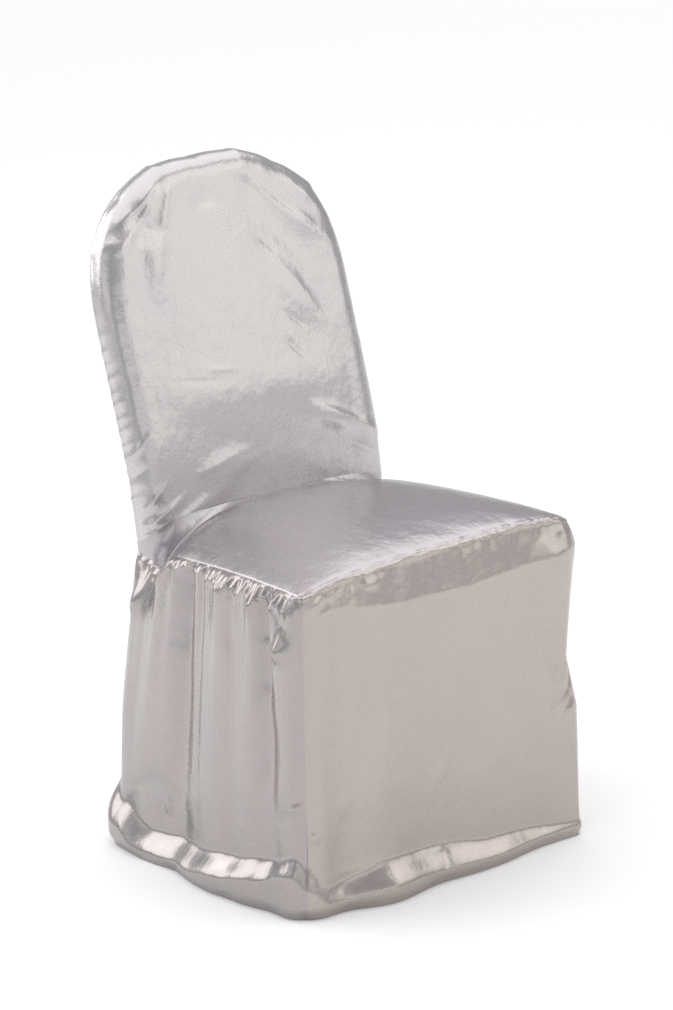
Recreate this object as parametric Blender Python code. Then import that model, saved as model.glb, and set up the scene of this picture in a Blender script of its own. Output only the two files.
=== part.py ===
"""Satin cover for a banquet chair: six sewn panels that hang as one hollow shell.

Metres, +Z up, and the seat faces -Y. The origin is on the floor, under the middle of the bounding box.
Every panel is a sheet of the same thickness. Its outer face is worked out first, as points on a grid, and
the panels meet at shared rows of points, which are the seams. The sizes below are measured from the middle
of the seat, and the last step moves all the points to the origin.
"""

import math

import bpy
import numpy as np

# Cloth
CLOTH = 0.002  # thickness of the satin with its turned seams
SEAM_GAP = 0.0003  # between two panels that are sewn together
SATIN_COLOUR = (0.66, 0.62, 0.61, 1.0)
SATIN_ROUGHNESS = 0.34
SATIN_METALLIC = 0.35

# The seat: its seam runs along the front and the sides
FRONT_SEAM_HEIGHT = 0.458
SIDE_SEAM_REAR = 0.429  # height that the side seams would reach at the back
FRONT_CROWN = 0.014  # how much higher the front seam is in its middle than at its corners
CROWN_POWER = 4.0  # how flat that arch is before it falls to its ends
SEAT_DOME = 0.016  # rise of the padded top over the straight lines from its front to its back
SEAT_SIDE_FALL = 6.0  # how near the sides it stays level before it falls with the side seams
SEAT_SIDE_POWER = 5.0  # how flat the padding is across before it falls to the side seams
SEAT_FRONT_POWER = 12.0  # how soon it has risen behind the front seam
SEAT_REAR_POWER = 6.0  # how flat it stays before it falls to the back
EDGE_SOFTNESS = 0.7  # under 1, the padding rises at once from its edges
NOTCH = (0.202, 0.166, 0.411)  # where a side seam is pinched down beside the backrest, on either side
NOTCH_PULL = 0.030  # length of seam that the pinch draws down
LAST_ROW = 0.03  # share of the seat's depth between the notch and the backrest's seam

# The backrest: a raked, padded board with a round top, in a sleeve of cloth
BACK_FACE_Y = 0.172  # front face of the backrest where it meets the seat
BACK_FOOT_HEIGHT = 0.416  # where lengths up the back are measured from
BACK_HALF_WIDTH = 0.211
BACK_THICKNESS = 0.042
BACK_EDGE_WIDE = 0.045  # width of the rounded edge, a quarter of a superellipse as deep as the back
BACK_EDGE_POWER = 3.0  # 2 would make that an ellipse
BACK_STRAIGHT = 0.330  # length of the straight sides, measured up the rake
BACK_LENGTH = 0.551  # the same to the top of the arch
ARCH_POWER = 2.58  # 2 is an ellipse, and more is squarer
SIDE_TOP = 0.405  # length up the back where the rows of points at the sides end
FOLDS_FADE_POWER = 6.0  # how near the edges of the front its folds reach before they fade
BACK_CROWN = 0.007  # how far the padded front stands out in its middle
CROWN_AT_SEAT = 0.1  # share of that curve that is already climbed where the seat's seam crosses
BACK_SAG = 0.006  # how far the cloth behind stands out
RAKE_LOW = math.radians(4.5)  # the padding stands nearly upright just above the seat
RAKE_HIGH = math.radians(13.5)  # and leans back from there up
RAKE_TURN = 0.125  # length up the back where the rake changes
RAKE_BLEND = 0.055
SEAM_UP_EDGE, SEAM_UP_MIDDLE = 0.050, 0.055  # where the seat's seam crosses the front of the back
SEAM_TILT = -0.030  # its slope across
SEAM_FOOT = 0.0245  # where it reaches the rear edge of the sleeve
EAR_FOOT = 0.009  # where the side seam does, below the seat panel's ear

# Loose cloth on one shoulder: place across and up the back, how far out, half width
SHOULDER_ACROSS, SHOULDER_UP, SHOULDER_OUT, SHOULDER_WIDE = 0.180, 0.474, 0.0035, 0.035

# Broad folds in the front of the backrest, each a ridge along a line from one place, across and up, to
# another, with its height (a negative one is a trough) and its half width
BACK_FOLD_COLUMNS = ("across_from", "up_from", "across_to", "up_to", "high", "wide")
BACK_FOLDS = (
    (0.020, 0.520, 0.215, 0.370, 0.0040, 0.014),
    (-0.010, 0.500, 0.200, 0.330, -0.0030, 0.018),
    (0.010, 0.440, 0.185, 0.210, 0.0018, 0.016),
    (-0.115, 0.520, -0.130, 0.340, 0.0030, 0.014),
    (-0.150, 0.500, -0.185, 0.370, -0.0030, 0.016),
    (0.065, 0.165, 0.215, 0.085, 0.0045, 0.013),
    (-0.150, 0.085, 0.020, 0.125, 0.0030, 0.017),
    (-0.200, 0.030, -0.040, 0.095, 0.0030, 0.015),
)
FOLD_TAPER = 0.5  # share of a fold's length over which each of its ends fades

# The four upright corners of the skirt: x and y at the seam, and x and y at the floor
CORNERS = (
    (-0.226, -0.204, -0.255, -0.200),
    (0.231, -0.206, 0.210, -0.240),
    (0.210, 0.216, 0.245, 0.262),
    (-0.210, 0.216, -0.281, 0.254),
)
CORNER_BOW = (1.0, 1.0, 1.3, 1.5)  # over 1, a corner moves out quickly below the seam and then slowly
CORNER_RADIUS_TOP = 0.012
CORNER_RADIUS_FLOOR = (0.034, 0.012, 0.045, 0.045)
CORNER_TURN = math.pi / 4  # each of two walls turns half of the corner

# The four walls of the skirt. Wall n runs from corner n to corner n + 1
FRONT, RIGHT, BACK, LEFT = range(4)
PUFF = (0.006, 0.012, 0.0, 0.012)  # how far the middle of each wall springs out just below its seam
CORNER_PUFF = 0.006
PUFF_DROP = 0.010
PUFF_FADE = 0.16
WALL_LENGTH = 0.45  # near enough, for the widths of folds
FOLD_CLEAR = 0.03  # the folds fade out this near a corner
SEAM_FADE = 0.045  # height over which a wall leaves the line of its top seam

# Folds that run down a wall: the wall, where at the seam and at the floor as shares of its length, height
# at the seam and at the floor (a negative one is a trough), half width at the seam and at the floor
FOLD_COLUMNS = ("wall", "top_at", "floor_at", "top_high", "floor_high", "top_wide", "floor_wide")
FOLDS = (
    (FRONT, 0.10, 0.13, -0.003, -0.004, 0.020, 0.030),
    (FRONT, 0.22, 0.30, 0.003, 0.008, 0.030, 0.050),
    (FRONT, 0.40, 0.47, -0.002, -0.006, 0.035, 0.055),
    (FRONT, 0.62, 0.60, 0.002, 0.004, 0.050, 0.060),
    (FRONT, 0.85, 0.82, -0.002, -0.005, 0.030, 0.045),
    (RIGHT, 0.14, 0.13, -0.008, -0.010, 0.014, 0.024),
    (RIGHT, 0.26, 0.27, 0.008, 0.014, 0.026, 0.045),
    (RIGHT, 0.42, 0.44, -0.011, -0.012, 0.018, 0.028),
    (RIGHT, 0.58, 0.60, 0.009, 0.012, 0.030, 0.050),
    (RIGHT, 0.75, 0.74, -0.009, -0.012, 0.018, 0.030),
    (RIGHT, 0.88, 0.88, 0.005, 0.012, 0.026, 0.045),
    (BACK, 0.20, 0.17, 0.000, -0.012, 0.030, 0.040),
    (BACK, 0.36, 0.35, 0.000, 0.012, 0.040, 0.055),
    (BACK, 0.52, 0.54, 0.000, -0.010, 0.040, 0.050),
    (BACK, 0.70, 0.72, 0.000, 0.013, 0.040, 0.055),
    (BACK, 0.86, 0.88, 0.000, -0.010, 0.030, 0.040),
    (LEFT, 0.19, 0.18, 0.008, 0.004, 0.045, 0.055),
    (LEFT, 0.365, 0.39, -0.014, 0.002, 0.016, 0.024),
    (LEFT, 0.465, 0.47, -0.006, 0.000, 0.010, 0.016),
    (LEFT, 0.57, 0.58, 0.009, 0.008, 0.032, 0.070),
    (LEFT, 0.67, 0.67, -0.004, 0.000, 0.012, 0.016),
    (LEFT, 0.75, 0.74, 0.005, 0.004, 0.020, 0.045),
    (LEFT, 0.81, 0.83, -0.010, -0.003, 0.010, 0.018),
    (LEFT, 0.90, 0.92, 0.007, 0.003, 0.018, 0.030),
)

# The hem is a little long, so it spreads on the floor: the height where it starts to spread and how far
# it reaches, at each corner and in the middle of each wall
HEM_CORNERS = ((0.105, 0.014), (0.025, 0.006), (0.100, 0.018), (0.130, 0.017))
HEM_MIDDLES = ((0.075, 0.012), (0.060, 0.018), (0.070, 0.012), (0.060, 0.028))
HEM_ROUND = 0.60  # share of that height over which it turns outwards
HEM_TUCK = 0.008  # how far the very edge turns back under
HEM_TUCK_HEIGHT = 0.020

# How the front right corner wanders out and in on its way down: height above the floor, and shift
CORNER_WANDER = (
    (0.0, 0.0),
    (0.12, -0.001),
    (0.19, 0.001),
    (0.26, -0.010),
    (0.34, -0.001),
    (0.42, 0.009),
    (0.46, 0.0),
)
WANDER_WIDTH = 0.05

# Where the points stand
HALF_ACROSS = 10  # steps from the middle to an edge, in the seat, the front and the back
ACROSS_TURN = 75.0  # 90 would set the points closest at the edges, and 0 evenly
SIDE_STEPS = 26  # along each side of the seat
BACK_STEPS = 19  # up each side of the backrest
EDGE_TURNS = (15.0, 30.0, 45.0, 60.0, 72.0, 82.0, 90.0)  # round the edge of the sleeve
SPINE_STEP = 0.0025
SKIRT_DROPS = (
    0.0, 0.018, 0.045, 0.09, 0.15, 0.23, 0.32, 0.42, 0.53, 0.64, 0.74, 0.82, 0.875, 0.92, 0.955, 0.98, 1.0
)  # shares of the way down from the seam to the floor
BESIDE_BACK = 0.12  # share of a side wall's top that lies beside the backrest, under the ear
ON_FLOOR = 1e-6
SAME_POINT = 6  # decimals, in metres
SHARP_EDGE = math.radians(60)


def smooth(share):
    """0 at 0 and 1 at 1, level at both ends."""
    share = np.clip(share, 0.0, 1.0)
    return share * share * (3 - 2 * share)


def bell(distance):
    """1 at 0, falling to nearly nothing at 2."""
    return np.exp(-distance * distance)


def between(start, middle, end, along):
    """A smooth curve through the values at the start, middle and end of a wall."""
    first = start + (middle - start) * smooth(2 * along)
    second = middle + (end - middle) * smooth(2 * along - 1)
    return np.where(along < 0.5, first, second)


def unit(vectors):
    """The vectors at length 1."""
    return vectors / np.linalg.norm(vectors, axis=-1, keepdims=True)


def rake(up):
    """The lean of the backrest at a length up the back."""
    return RAKE_LOW + (RAKE_HIGH - RAKE_LOW) * smooth((up - RAKE_TURN + RAKE_BLEND) / (2 * RAKE_BLEND))


# The rows and columns that the panels share, and the side view of the backrest's front
ACROSS = np.sin(np.radians(np.linspace(-ACROSS_TURN, ACROSS_TURN, 2 * HALF_ACROSS + 1)))
ACROSS /= ACROSS[-1]
SIDE_SHARES = np.linspace(0.0, 1.0, SIDE_STEPS + 1)
BACK_SHARES = np.linspace(0.0, 1.0, BACK_STEPS + 1)
RISES = 1.0 - np.array(SKIRT_DROPS)
SPINE_UP = np.arange(0.0, BACK_LENGTH + BACK_THICKNESS, SPINE_STEP)
SPINE_Y = np.cumsum(np.sin(rake(SPINE_UP)) * SPINE_STEP)
SPINE_Z = np.cumsum(np.cos(rake(SPINE_UP)) * SPINE_STEP)


def on_back(x, up, depth):
    """A point of the backrest from its place across, its length up the rake and its depth behind the face."""
    lean = rake(up)
    y = BACK_FACE_Y + np.interp(up, SPINE_UP, SPINE_Y) + depth * np.cos(lean)
    z = BACK_FOOT_HEIGHT + np.interp(up, SPINE_UP, SPINE_Z) - depth * np.sin(lean)
    return np.stack(np.broadcast_arrays(x, y, z), axis=-1)


def back_folds(x, up):
    """How far the folds lift the front of the backrest: a bell across each line, tapered at its ends."""
    lift = np.zeros(np.broadcast(x, up).shape)
    for row in BACK_FOLDS:
        fold = dict(zip(BACK_FOLD_COLUMNS, row))
        way = np.array([fold["across_to"] - fold["across_from"], fold["up_to"] - fold["up_from"]])
        length = np.hypot(*way)
        way /= length
        right, above = x - fold["across_from"], up - fold["up_from"]
        along = (right * way[0] + above * way[1]) / length
        aside = right * way[1] - above * way[0]
        ends = smooth(along / FOLD_TAPER) * smooth((1 - along) / FOLD_TAPER)
        lift += fold["high"] * ends * bell(aside / fold["wide"])
    return lift


def seat_seam_up(x):
    """How far up the back the seat's seam crosses it."""
    half = BACK_HALF_WIDTH - BACK_EDGE_WIDE
    crown = (SEAM_UP_MIDDLE - SEAM_UP_EDGE) * (1 - np.abs(x / half) ** CROWN_POWER)
    return SEAM_UP_EDGE + crown + SEAM_TILT * x


def arch_outline(inset, feet):
    """The outline of the backrest from bottom left, over the arch, to bottom right.

    Straight sides, then a superellipse. Gives the places across and up, and the outward direction at each.
    The feet are the two lengths up the back where the sides start.
    """
    half, rise = BACK_HALF_WIDTH - inset, BACK_LENGTH - inset - BACK_STRAIGHT

    def side(foot):
        up = foot + (SIDE_TOP - foot) * BACK_SHARES
        arch = np.clip((up - BACK_STRAIGHT) / rise, 0, 1)
        return half * (1 - arch**ARCH_POWER) ** (1 / ARCH_POWER), up

    (left_x, left_up), (right_x, right_up) = side(feet[0]), side(feet[1])
    top_x = left_x[-1] * ACROSS[1:-1]
    top_up = BACK_STRAIGHT + rise * (1 - np.abs(top_x / half) ** ARCH_POWER) ** (1 / ARCH_POWER)
    x = np.concatenate([-left_x, top_x, right_x[::-1]])
    up = np.concatenate([left_up, top_up, right_up[::-1]])
    arch = np.clip((up - BACK_STRAIGHT) / rise, 0, 1)
    out_x = np.sign(x) * np.abs(x / half) ** (ARCH_POWER - 1) / half
    out_up = arch ** (ARCH_POWER - 1) / rise
    size = np.hypot(out_x, out_up)
    return x, up, out_x / size, out_up / size


def sides_and_top(outline):
    """Splits an outline's values into its left side and right side, each upwards, and its top."""
    left, right = outline[: BACK_STEPS + 1], outline[: -BACK_STEPS - 2 : -1]
    return left, right, outline[BACK_STEPS:-BACK_STEPS]


def across_rows(left, right):
    """Rows of values that run evenly with the columns from the left side's to the right side's."""
    return left[:, None] + (right - left)[:, None] * (ACROSS + 1) / 2


def sleeve_front():
    """The padded front of the backrest: rows from the seat's seam up, within the outline of its edge."""
    half = BACK_HALF_WIDTH - BACK_EDGE_WIDE
    feet = seat_seam_up(np.array([-half, half]))
    edge_x, edge_up, _, _ = arch_outline(BACK_EDGE_WIDE, feet)
    left_x, right_x, _ = sides_and_top(edge_x)
    _, _, top_up = sides_and_top(edge_up)
    share = BACK_SHARES[:, None]
    x = across_rows(left_x, right_x)
    start = seat_seam_up(half * ACROSS)
    up = start + (top_up - start) * share
    clear_of_edges = (1 - np.abs(ACROSS) ** FOLDS_FADE_POWER) * (1 - share**FOLDS_FADE_POWER)
    climbed = CROWN_AT_SEAT + (1 - CROWN_AT_SEAT) * share
    crown = BACK_CROWN * (1 - ACROSS**2) ** 2 * np.sin(math.pi * climbed) ** 2
    return on_back(x, up, -crown - back_folds(x, up) * clear_of_edges), feet


def sleeve_edge(feet):
    """The strip that turns round the edge of the sleeve to the rear seam: a quarter of a superellipse."""
    rows = []
    for step, turn in enumerate(np.radians(EDGE_TURNS), start=1):
        share = step / len(EDGE_TURNS)
        x, up, out_x, out_up = arch_outline(BACK_EDGE_WIDE, feet + (SEAM_FOOT - feet) * share)
        reach = BACK_EDGE_WIDE * math.sin(turn) ** (2 / BACK_EDGE_POWER)
        from_shoulder = np.hypot(x + out_x * reach - SHOULDER_ACROSS, up + out_up * reach - SHOULDER_UP)
        reach = reach + SHOULDER_OUT * bell(from_shoulder / SHOULDER_WIDE) * share
        x, up = x + out_x * reach, up + out_up * reach
        depth = BACK_THICKNESS * (1 - math.cos(turn) ** (2 / BACK_EDGE_POWER))
        rows.append(on_back(x, up, depth))
    return np.array(rows), x, up


def sleeve_behind(rim_x, rim_up):
    """The rear of the sleeve: a row at the ears' feet, then rows from its left edge to its right."""
    left_x, right_x, top_x = sides_and_top(rim_x)
    left_up, right_up, top_up = sides_and_top(rim_up)
    x = across_rows(np.append(-BACK_HALF_WIDTH, left_x), np.append(BACK_HALF_WIDTH, right_x))
    up = across_rows(np.append(EAR_FOOT, left_up), np.append(EAR_FOOT, right_up))
    share = (up[:, :1] - EAR_FOOT) / (up[-1, 0] - EAR_FOOT)
    x = x + (top_x - x[-1]) * share**CROWN_POWER
    up = up + (top_up - up[-1]) * share
    return on_back(x, up, BACK_THICKNESS + BACK_SAG * np.sin(math.pi * share) * (1 - ACROSS**2))


def corner(name, rise):
    """Where a corner of the skirt stands, in plan, at a share of the height from the floor."""
    top_x, top_y, floor_x, floor_y = CORNERS[name % 4]
    share = rise ** CORNER_BOW[name % 4]
    return np.stack([floor_x + (top_x - floor_x) * share, floor_y + (top_y - floor_y) * share], axis=-1)


def corner_radius(name, rise):
    """How round a corner of the skirt is at a share of the height from the floor."""
    floor = CORNER_RADIUS_FLOOR[name % 4]
    return floor + (CORNER_RADIUS_TOP - floor) * rise


def wall(side, along, rise):
    """The plain wall between two corners, in plan: its points and the outward direction at each.

    It is straight, and within a radius of a corner it turns on an arc towards the next wall.
    """
    along, rise = np.broadcast_arrays(along, rise)
    start, end = corner(side, rise), corner(side + 1, rise)
    back, on = unit(corner(side - 1, rise) - start), unit(corner(side + 2, rise) - end)
    length = np.linalg.norm(end - start, axis=-1)
    way = unit(end - start)
    near, far = corner_radius(side, rise), corner_radius(side + 1, rise)
    first, last = along * length, (1 - along) * length
    turn_first = CORNER_TURN * np.clip(1 - first / near, 0, 1)
    turn_last = CORNER_TURN * np.clip(1 - last / far, 0, 1)
    first = np.where(first < near, near * (1 - np.sin(turn_first)), first)
    last = np.where(last < far, far * (1 - np.sin(turn_last)), last)
    points = start + way * np.where(along < 0.5, first, length - last)[..., None]
    points = points + back * (near * (1 - np.cos(turn_first)))[..., None]
    points = points + on * (far * (1 - np.cos(turn_last)))[..., None]
    straight_out = np.stack([way[..., 1], -way[..., 0]], axis=-1)
    turned = (np.sin(turn_last) - np.sin(turn_first))[..., None]
    out = unit(straight_out * (np.cos(turn_first) * np.cos(turn_last))[..., None] + way * turned)
    return points, out


def seam_height(side, along):
    """Height of the seam between the seat and a wall: the front is arched, and the sides fall to the back."""
    if side == FRONT:
        return FRONT_SEAM_HEIGHT + FRONT_CROWN * (1 - np.abs(2 * along - 1) ** CROWN_POWER)
    rear_share = along if side == RIGHT else 1 - along
    return FRONT_SEAM_HEIGHT - (FRONT_SEAM_HEIGHT - SIDE_SEAM_REAR) * rear_share**2


def wall_folds(side, along, rise):
    """How far the folds of a wall stand out: bells that move, widen and grow from the seam to the floor."""
    shift = np.zeros(np.broadcast(along, rise).shape)
    for row in FOLDS:
        fold = dict(zip(FOLD_COLUMNS, row))
        if fold["wall"] == side:
            at = fold["floor_at"] + (fold["top_at"] - fold["floor_at"]) * rise
            high = fold["floor_high"] + (fold["top_high"] - fold["floor_high"]) * rise
            wide = fold["floor_wide"] + (fold["top_wide"] - fold["floor_wide"]) * rise
            shift = shift + high * bell((along - at) * WALL_LENGTH / wide)
    from_start, from_end = along * WALL_LENGTH, (1 - along) * WALL_LENGTH
    return shift * smooth(from_start / FOLD_CLEAR) * smooth(from_end / FOLD_CLEAR)


def wall_relief(side, along, rise, height):
    """How far the cloth stands out from the plain wall: folds, the puff below the seam, and the hem."""
    drop, low = (1 - rise) * height, rise * height
    shift = wall_folds(side, along, rise)
    shift = shift + between(CORNER_PUFF, PUFF[side], CORNER_PUFF, along) * np.exp(-drop / PUFF_FADE)
    if side in (FRONT, RIGHT):
        from_corner = (1 - along if side == FRONT else along) * WALL_LENGTH
        heights, shifts = np.transpose(CORNER_WANDER)
        shift = shift + np.interp(low, heights, shifts) * bell(from_corner / WANDER_WIDTH)
    shift = shift * (1 - np.exp(-drop / PUFF_DROP))
    ends = HEM_CORNERS[side], HEM_MIDDLES[side], HEM_CORNERS[(side + 1) % 4]
    starts, reach = (between(*values, along) for values in zip(*ends))
    shift = shift + reach * smooth((starts - low) / (HEM_ROUND * starts))
    return shift - HEM_TUCK * smooth(1 - low / HEM_TUCK_HEIGHT)


def skirt_wall(side, along, top):
    """A wall of the skirt that hangs from its top edge, row by row down to the hem."""
    rise = RISES[:, None]
    height = top[None, :, 2]
    points, out = wall(side, along[None, :], rise)
    plain_top, _ = wall(side, along, np.ones_like(along))
    fade = np.exp(-(1 - rise) * height / SEAM_FADE)
    fade = (fade - fade[-1]) / (1 - fade[-1])
    points = points + (top[None, :, :2] - plain_top) * fade[..., None]
    points = points + out * wall_relief(side, along[None, :], rise, height)[..., None]
    return np.concatenate([points, (rise * height)[..., None]], axis=-1)


def side_seam(side):
    """The seam at a side of the seat, from its front corner to the notch: shares of the wall, and points."""
    front_along, rear_along = (0.0, 1 - BESIDE_BACK) if side == RIGHT else (1.0, BESIDE_BACK)
    along = front_along + (rear_along - front_along) * SIDE_SHARES
    plan, _ = wall(side, along, np.ones_like(along))
    seam = np.column_stack([plan, seam_height(side, along)])
    notch = np.array([NOTCH[0] if side == RIGHT else -NOTCH[0], NOTCH[1], NOTCH[2]])
    pull = bell((seam[-1, 1] - seam[:, 1]) / NOTCH_PULL)[:, None]
    return along, seam + (notch - seam[-1]) * pull


def seat_top(left, right, rear):
    """The seat: a surface stretched straight between its four edges, and raised by the padding."""
    along = (ACROSS + 1) / 2
    plan, _ = wall(FRONT, along, np.ones_like(along))
    front = np.column_stack([plan, seam_height(FRONT, along)])
    shares = np.append(SIDE_SHARES * (1 - LAST_ROW), 1.0)
    u, v = along[None, :, None], shares[:, None, None]
    ruled = (1 - v) * front[None] + v * rear[None] + (1 - u) * left[:, None] + u * right[:, None]
    corners = (1 - u) * ((1 - v) * front[0] + v * rear[0]) + u * ((1 - v) * front[-1] + v * rear[-1])
    seat = ruled - corners
    left_fall, right_fall = left[:, None, 2] - corners[:, :1, 2], right[:, None, 2] - corners[:, -1:, 2]
    level = (1 - v[..., 0]) * front[None, :, 2] + v[..., 0] * rear[None, :, 2]
    near_left, near_right = (1 - u[..., 0]) ** SEAT_SIDE_FALL, u[..., 0] ** SEAT_SIDE_FALL
    seat[..., 2] = level + left_fall * near_left + right_fall * near_right
    from_sides = 1 - np.abs(ACROSS[None, :]) ** SEAT_SIDE_POWER
    from_front = 1 - (1 - shares[:, None]) ** SEAT_FRONT_POWER
    to_rear = 1 - shares[:, None] ** SEAT_REAR_POWER
    seat[..., 2] += SEAT_DOME * (from_sides * from_front) ** EDGE_SOFTNESS * to_rear
    return seat


def ear(sleeve_seam, notch, sign):
    """The narrow end of the seat panel beside the backrest: its seam with the sleeve, and with the skirt."""
    rim = on_back(sign * BACK_HALF_WIDTH, EAR_FOOT, BACK_THICKNESS)
    steps = np.linalg.norm(np.diff(sleeve_seam, axis=0), axis=1)
    share = np.append(0.0, np.cumsum(steps)) / steps.sum()
    lower = notch + (rim - notch) * share[:, None]
    return np.array([sleeve_seam, lower])


class Panel:
    """The outer face of one piece of cloth: points, and faces of four of them each."""

    def __init__(self, name):
        self.name = name
        self.points = np.zeros((0, 3))
        self.faces = np.zeros((0, 4), dtype=int)

    def add_grid(self, rows, flip=False):
        """Adds a grid of points with its faces, and gives the number of each point."""
        numbers = len(self.points) + np.arange(rows.shape[0] * rows.shape[1]).reshape(rows.shape[:2])
        self.points = np.concatenate([self.points, rows.reshape(-1, 3)])
        self.add_faces(numbers, flip)
        return numbers

    def add_faces(self, numbers, flip=False):
        """Adds the faces between the rows and columns of a grid of point numbers."""
        a, b = numbers[:-1, :-1], numbers[:-1, 1:]
        c, d = numbers[1:, 1:], numbers[1:, :-1]
        corners = (a, d, c, b) if flip else (a, b, c, d)
        self.faces = np.concatenate([self.faces, np.stack([n.ravel() for n in corners], axis=-1)])


def open_edges(faces):
    """The edges that only one face has, each from its first to its second point as that face runs."""
    edges = np.concatenate([np.stack([faces[:, n], faces[:, (n + 1) % 4]], axis=-1) for n in range(4)])
    _, place, count = np.unique(np.sort(edges, axis=1), axis=0, return_inverse=True, return_counts=True)
    return edges[count[place.ravel()] == 1]


def shared_normals(panels):
    """A normal for each point of each panel, the same for points of different panels that meet at a seam."""
    points = np.concatenate([panel.points for panel in panels])
    total = np.zeros_like(points)
    start = 0
    for panel in panels:
        p, f = panel.points, panel.faces
        facing = unit(np.cross(p[f[:, 2]] - p[f[:, 0]], p[f[:, 3]] - p[f[:, 1]]))
        for n in range(4):
            np.add.at(total, f[:, n] + start, facing)
        start += len(p)
    _, place = np.unique(np.round(points, SAME_POINT), axis=0, return_inverse=True)
    merged = np.zeros((place.max() + 1, 3))
    np.add.at(merged, place.ravel(), total)
    normals = unit(merged)[place.ravel()]
    return np.split(normals, np.cumsum([len(panel.points) for panel in panels])[:-1])


def drawn_in(points, normals, edges):
    """The points with those on a seam moved half a gap into their own panel, and those on the floor level."""
    on_floor = points[:, 2] < ON_FLOOR
    seams = edges[~(on_floor[edges[:, 0]] & on_floor[edges[:, 1]])]
    line = points[seams[:, 1]] - points[seams[:, 0]]
    inward = np.zeros_like(points)
    first = np.zeros_like(points)
    for end in (0, 1):
        ways = unit(np.cross(normals[seams[:, end]], line))
        np.add.at(inward, seams[:, end], ways)
        first[seams[:, end]] = ways
    spread = np.maximum(np.sum(inward * first, axis=-1, keepdims=True), 1.0)
    moved = points + inward / spread * SEAM_GAP / 2
    moved[on_floor, 2] = 0.0
    return moved


def satin(name):
    """Pale silver satin for one panel."""
    material = bpy.data.materials.new(name)
    material.use_nodes = True
    shader = material.node_tree.nodes["Principled BSDF"]
    shader.inputs["Base Color"].default_value = SATIN_COLOUR
    shader.inputs["Roughness"].default_value = SATIN_ROUGHNESS
    shader.inputs["Metallic"].default_value = SATIN_METALLIC
    return material


def make_sheet(panel, normals):
    """Makes a panel of cloth: its outer face, an inner face one thickness behind, and a rim between them.

    The rim is made of triangles. Two panels cut it the same way along their seam, from the end of each edge
    that lies further along the three axes, so that they stay a gap apart where the seam twists.
    """
    edges = open_edges(panel.faces)
    outer = drawn_in(panel.points, normals, edges)
    level = normals * np.where(panel.points[:, 2:] < ON_FLOOR, (1.0, 1.0, 0.0), 1.0)
    inner = outer - unit(level) * CLOTH
    count = len(outer)
    first, second = edges[:, 0], edges[:, 1]
    place = np.round(panel.points, SAME_POINT).sum(axis=1)
    further = np.where(place[first] > place[second], first, second)
    nearer = first + second - further
    outer_rim = np.column_stack([second, first, nearer + count])
    inner_rim = np.column_stack([first + count, second + count, further])
    sides = np.concatenate([panel.faces, panel.faces[:, ::-1] + count]).tolist()
    faces = sides + outer_rim.tolist() + inner_rim.tolist()
    mesh = bpy.data.meshes.new(panel.name)
    mesh.from_pydata(np.concatenate([outer, inner]).tolist(), [], faces)
    mesh.shade_smooth()
    mesh.set_sharp_from_angle(angle=SHARP_EDGE)
    mesh.materials.append(satin(panel.name + "_satin"))
    bpy.context.scene.collection.objects.link(bpy.data.objects.new(panel.name, mesh))


def sleeve_panel(front, edge):
    """The front of the sleeve with its turned edge."""
    panel = Panel("inside_back")
    numbers = panel.add_grid(front)
    outline = np.concatenate([numbers[:-1, 0], numbers[-1, :], numbers[-2::-1, -1]])
    strip = panel.add_grid(edge)
    panel.add_faces(np.vstack([outline, strip[0]]))
    return panel


def seat_panel(top, left_ear, right_ear):
    """The seat with its two ears. Each ear joins the seat's last two points on its side."""
    panel = Panel("seat")
    numbers = panel.add_grid(top)
    for points, column, flip in ((left_ear, 0, False), (right_ear, -1, True)):
        added = panel.add_grid(points[:, 1:], flip)
        joint = [numbers[-1, column], numbers[-2, column]]
        panel.add_faces(np.column_stack([joint, added[:, 0]]), flip)
    return panel


def hung_panel(name, rows, flip):
    """A panel that is one grid from its top edge to its hem."""
    panel = Panel(name)
    panel.add_grid(rows, flip)
    return panel


def build():
    """Works out the outer face of each panel, moves them to the origin and makes the sheets."""
    for old in list(bpy.data.objects):
        bpy.data.objects.remove(old)

    front, feet = sleeve_front()
    edge, rim_x, rim_up = sleeve_edge(feet)
    behind = sleeve_behind(rim_x, rim_up)

    left_along, left = side_seam(LEFT)
    right_along, right = side_seam(RIGHT)
    top = seat_top(np.vstack([left, front[0, :1]]), np.vstack([right, front[0, -1:]]), front[0])
    left_ear = ear(np.vstack([front[:1, 0], edge[:, 0]]), left[-1], -1)
    right_ear = ear(np.vstack([front[:1, -1], edge[:, -1]]), right[-1], 1)

    beside = np.linspace(0, BESIDE_BACK, len(edge) + 1)[:-1]
    right_top = np.concatenate([right, right_ear[1, 1:]])
    left_top = np.concatenate([left_ear[1, :0:-1], left[::-1]])
    walls = [
        skirt_wall(FRONT, (ACROSS + 1) / 2, top[0]),
        skirt_wall(RIGHT, np.concatenate([right_along, 1 - beside[::-1]]), right_top),
        skirt_wall(BACK, (ACROSS + 1) / 2, behind[0, ::-1]),
        skirt_wall(LEFT, np.concatenate([beside, left_along[::-1]]), left_top),
    ]
    for this, following in zip(walls, walls[1:] + walls[:1]):
        this[:, -1] = following[:, 0] = (this[:, -1] + following[:, 0]) / 2

    panels = [
        sleeve_panel(front, edge),
        seat_panel(top, left_ear, right_ear),
        hung_panel("outside_back", np.concatenate([behind[:0:-1], walls[BACK][:, ::-1]]), False),
        hung_panel("front_skirt", walls[FRONT], True),
        hung_panel("right_skirt", walls[RIGHT], True),
        hung_panel("left_skirt", walls[LEFT], True),
    ]
    everything = np.concatenate([panel.points for panel in panels])
    middle = (everything.min(axis=0) + everything.max(axis=0)) / 2
    for panel in panels:
        panel.points[:, :2] -= middle[:2]
    for panel, normals in zip(panels, shared_normals(panels)):
        make_sheet(panel, normals)


build()
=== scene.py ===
import math

import bmesh
import bpy
import numpy as np
from mathutils import Matrix, Vector


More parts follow.
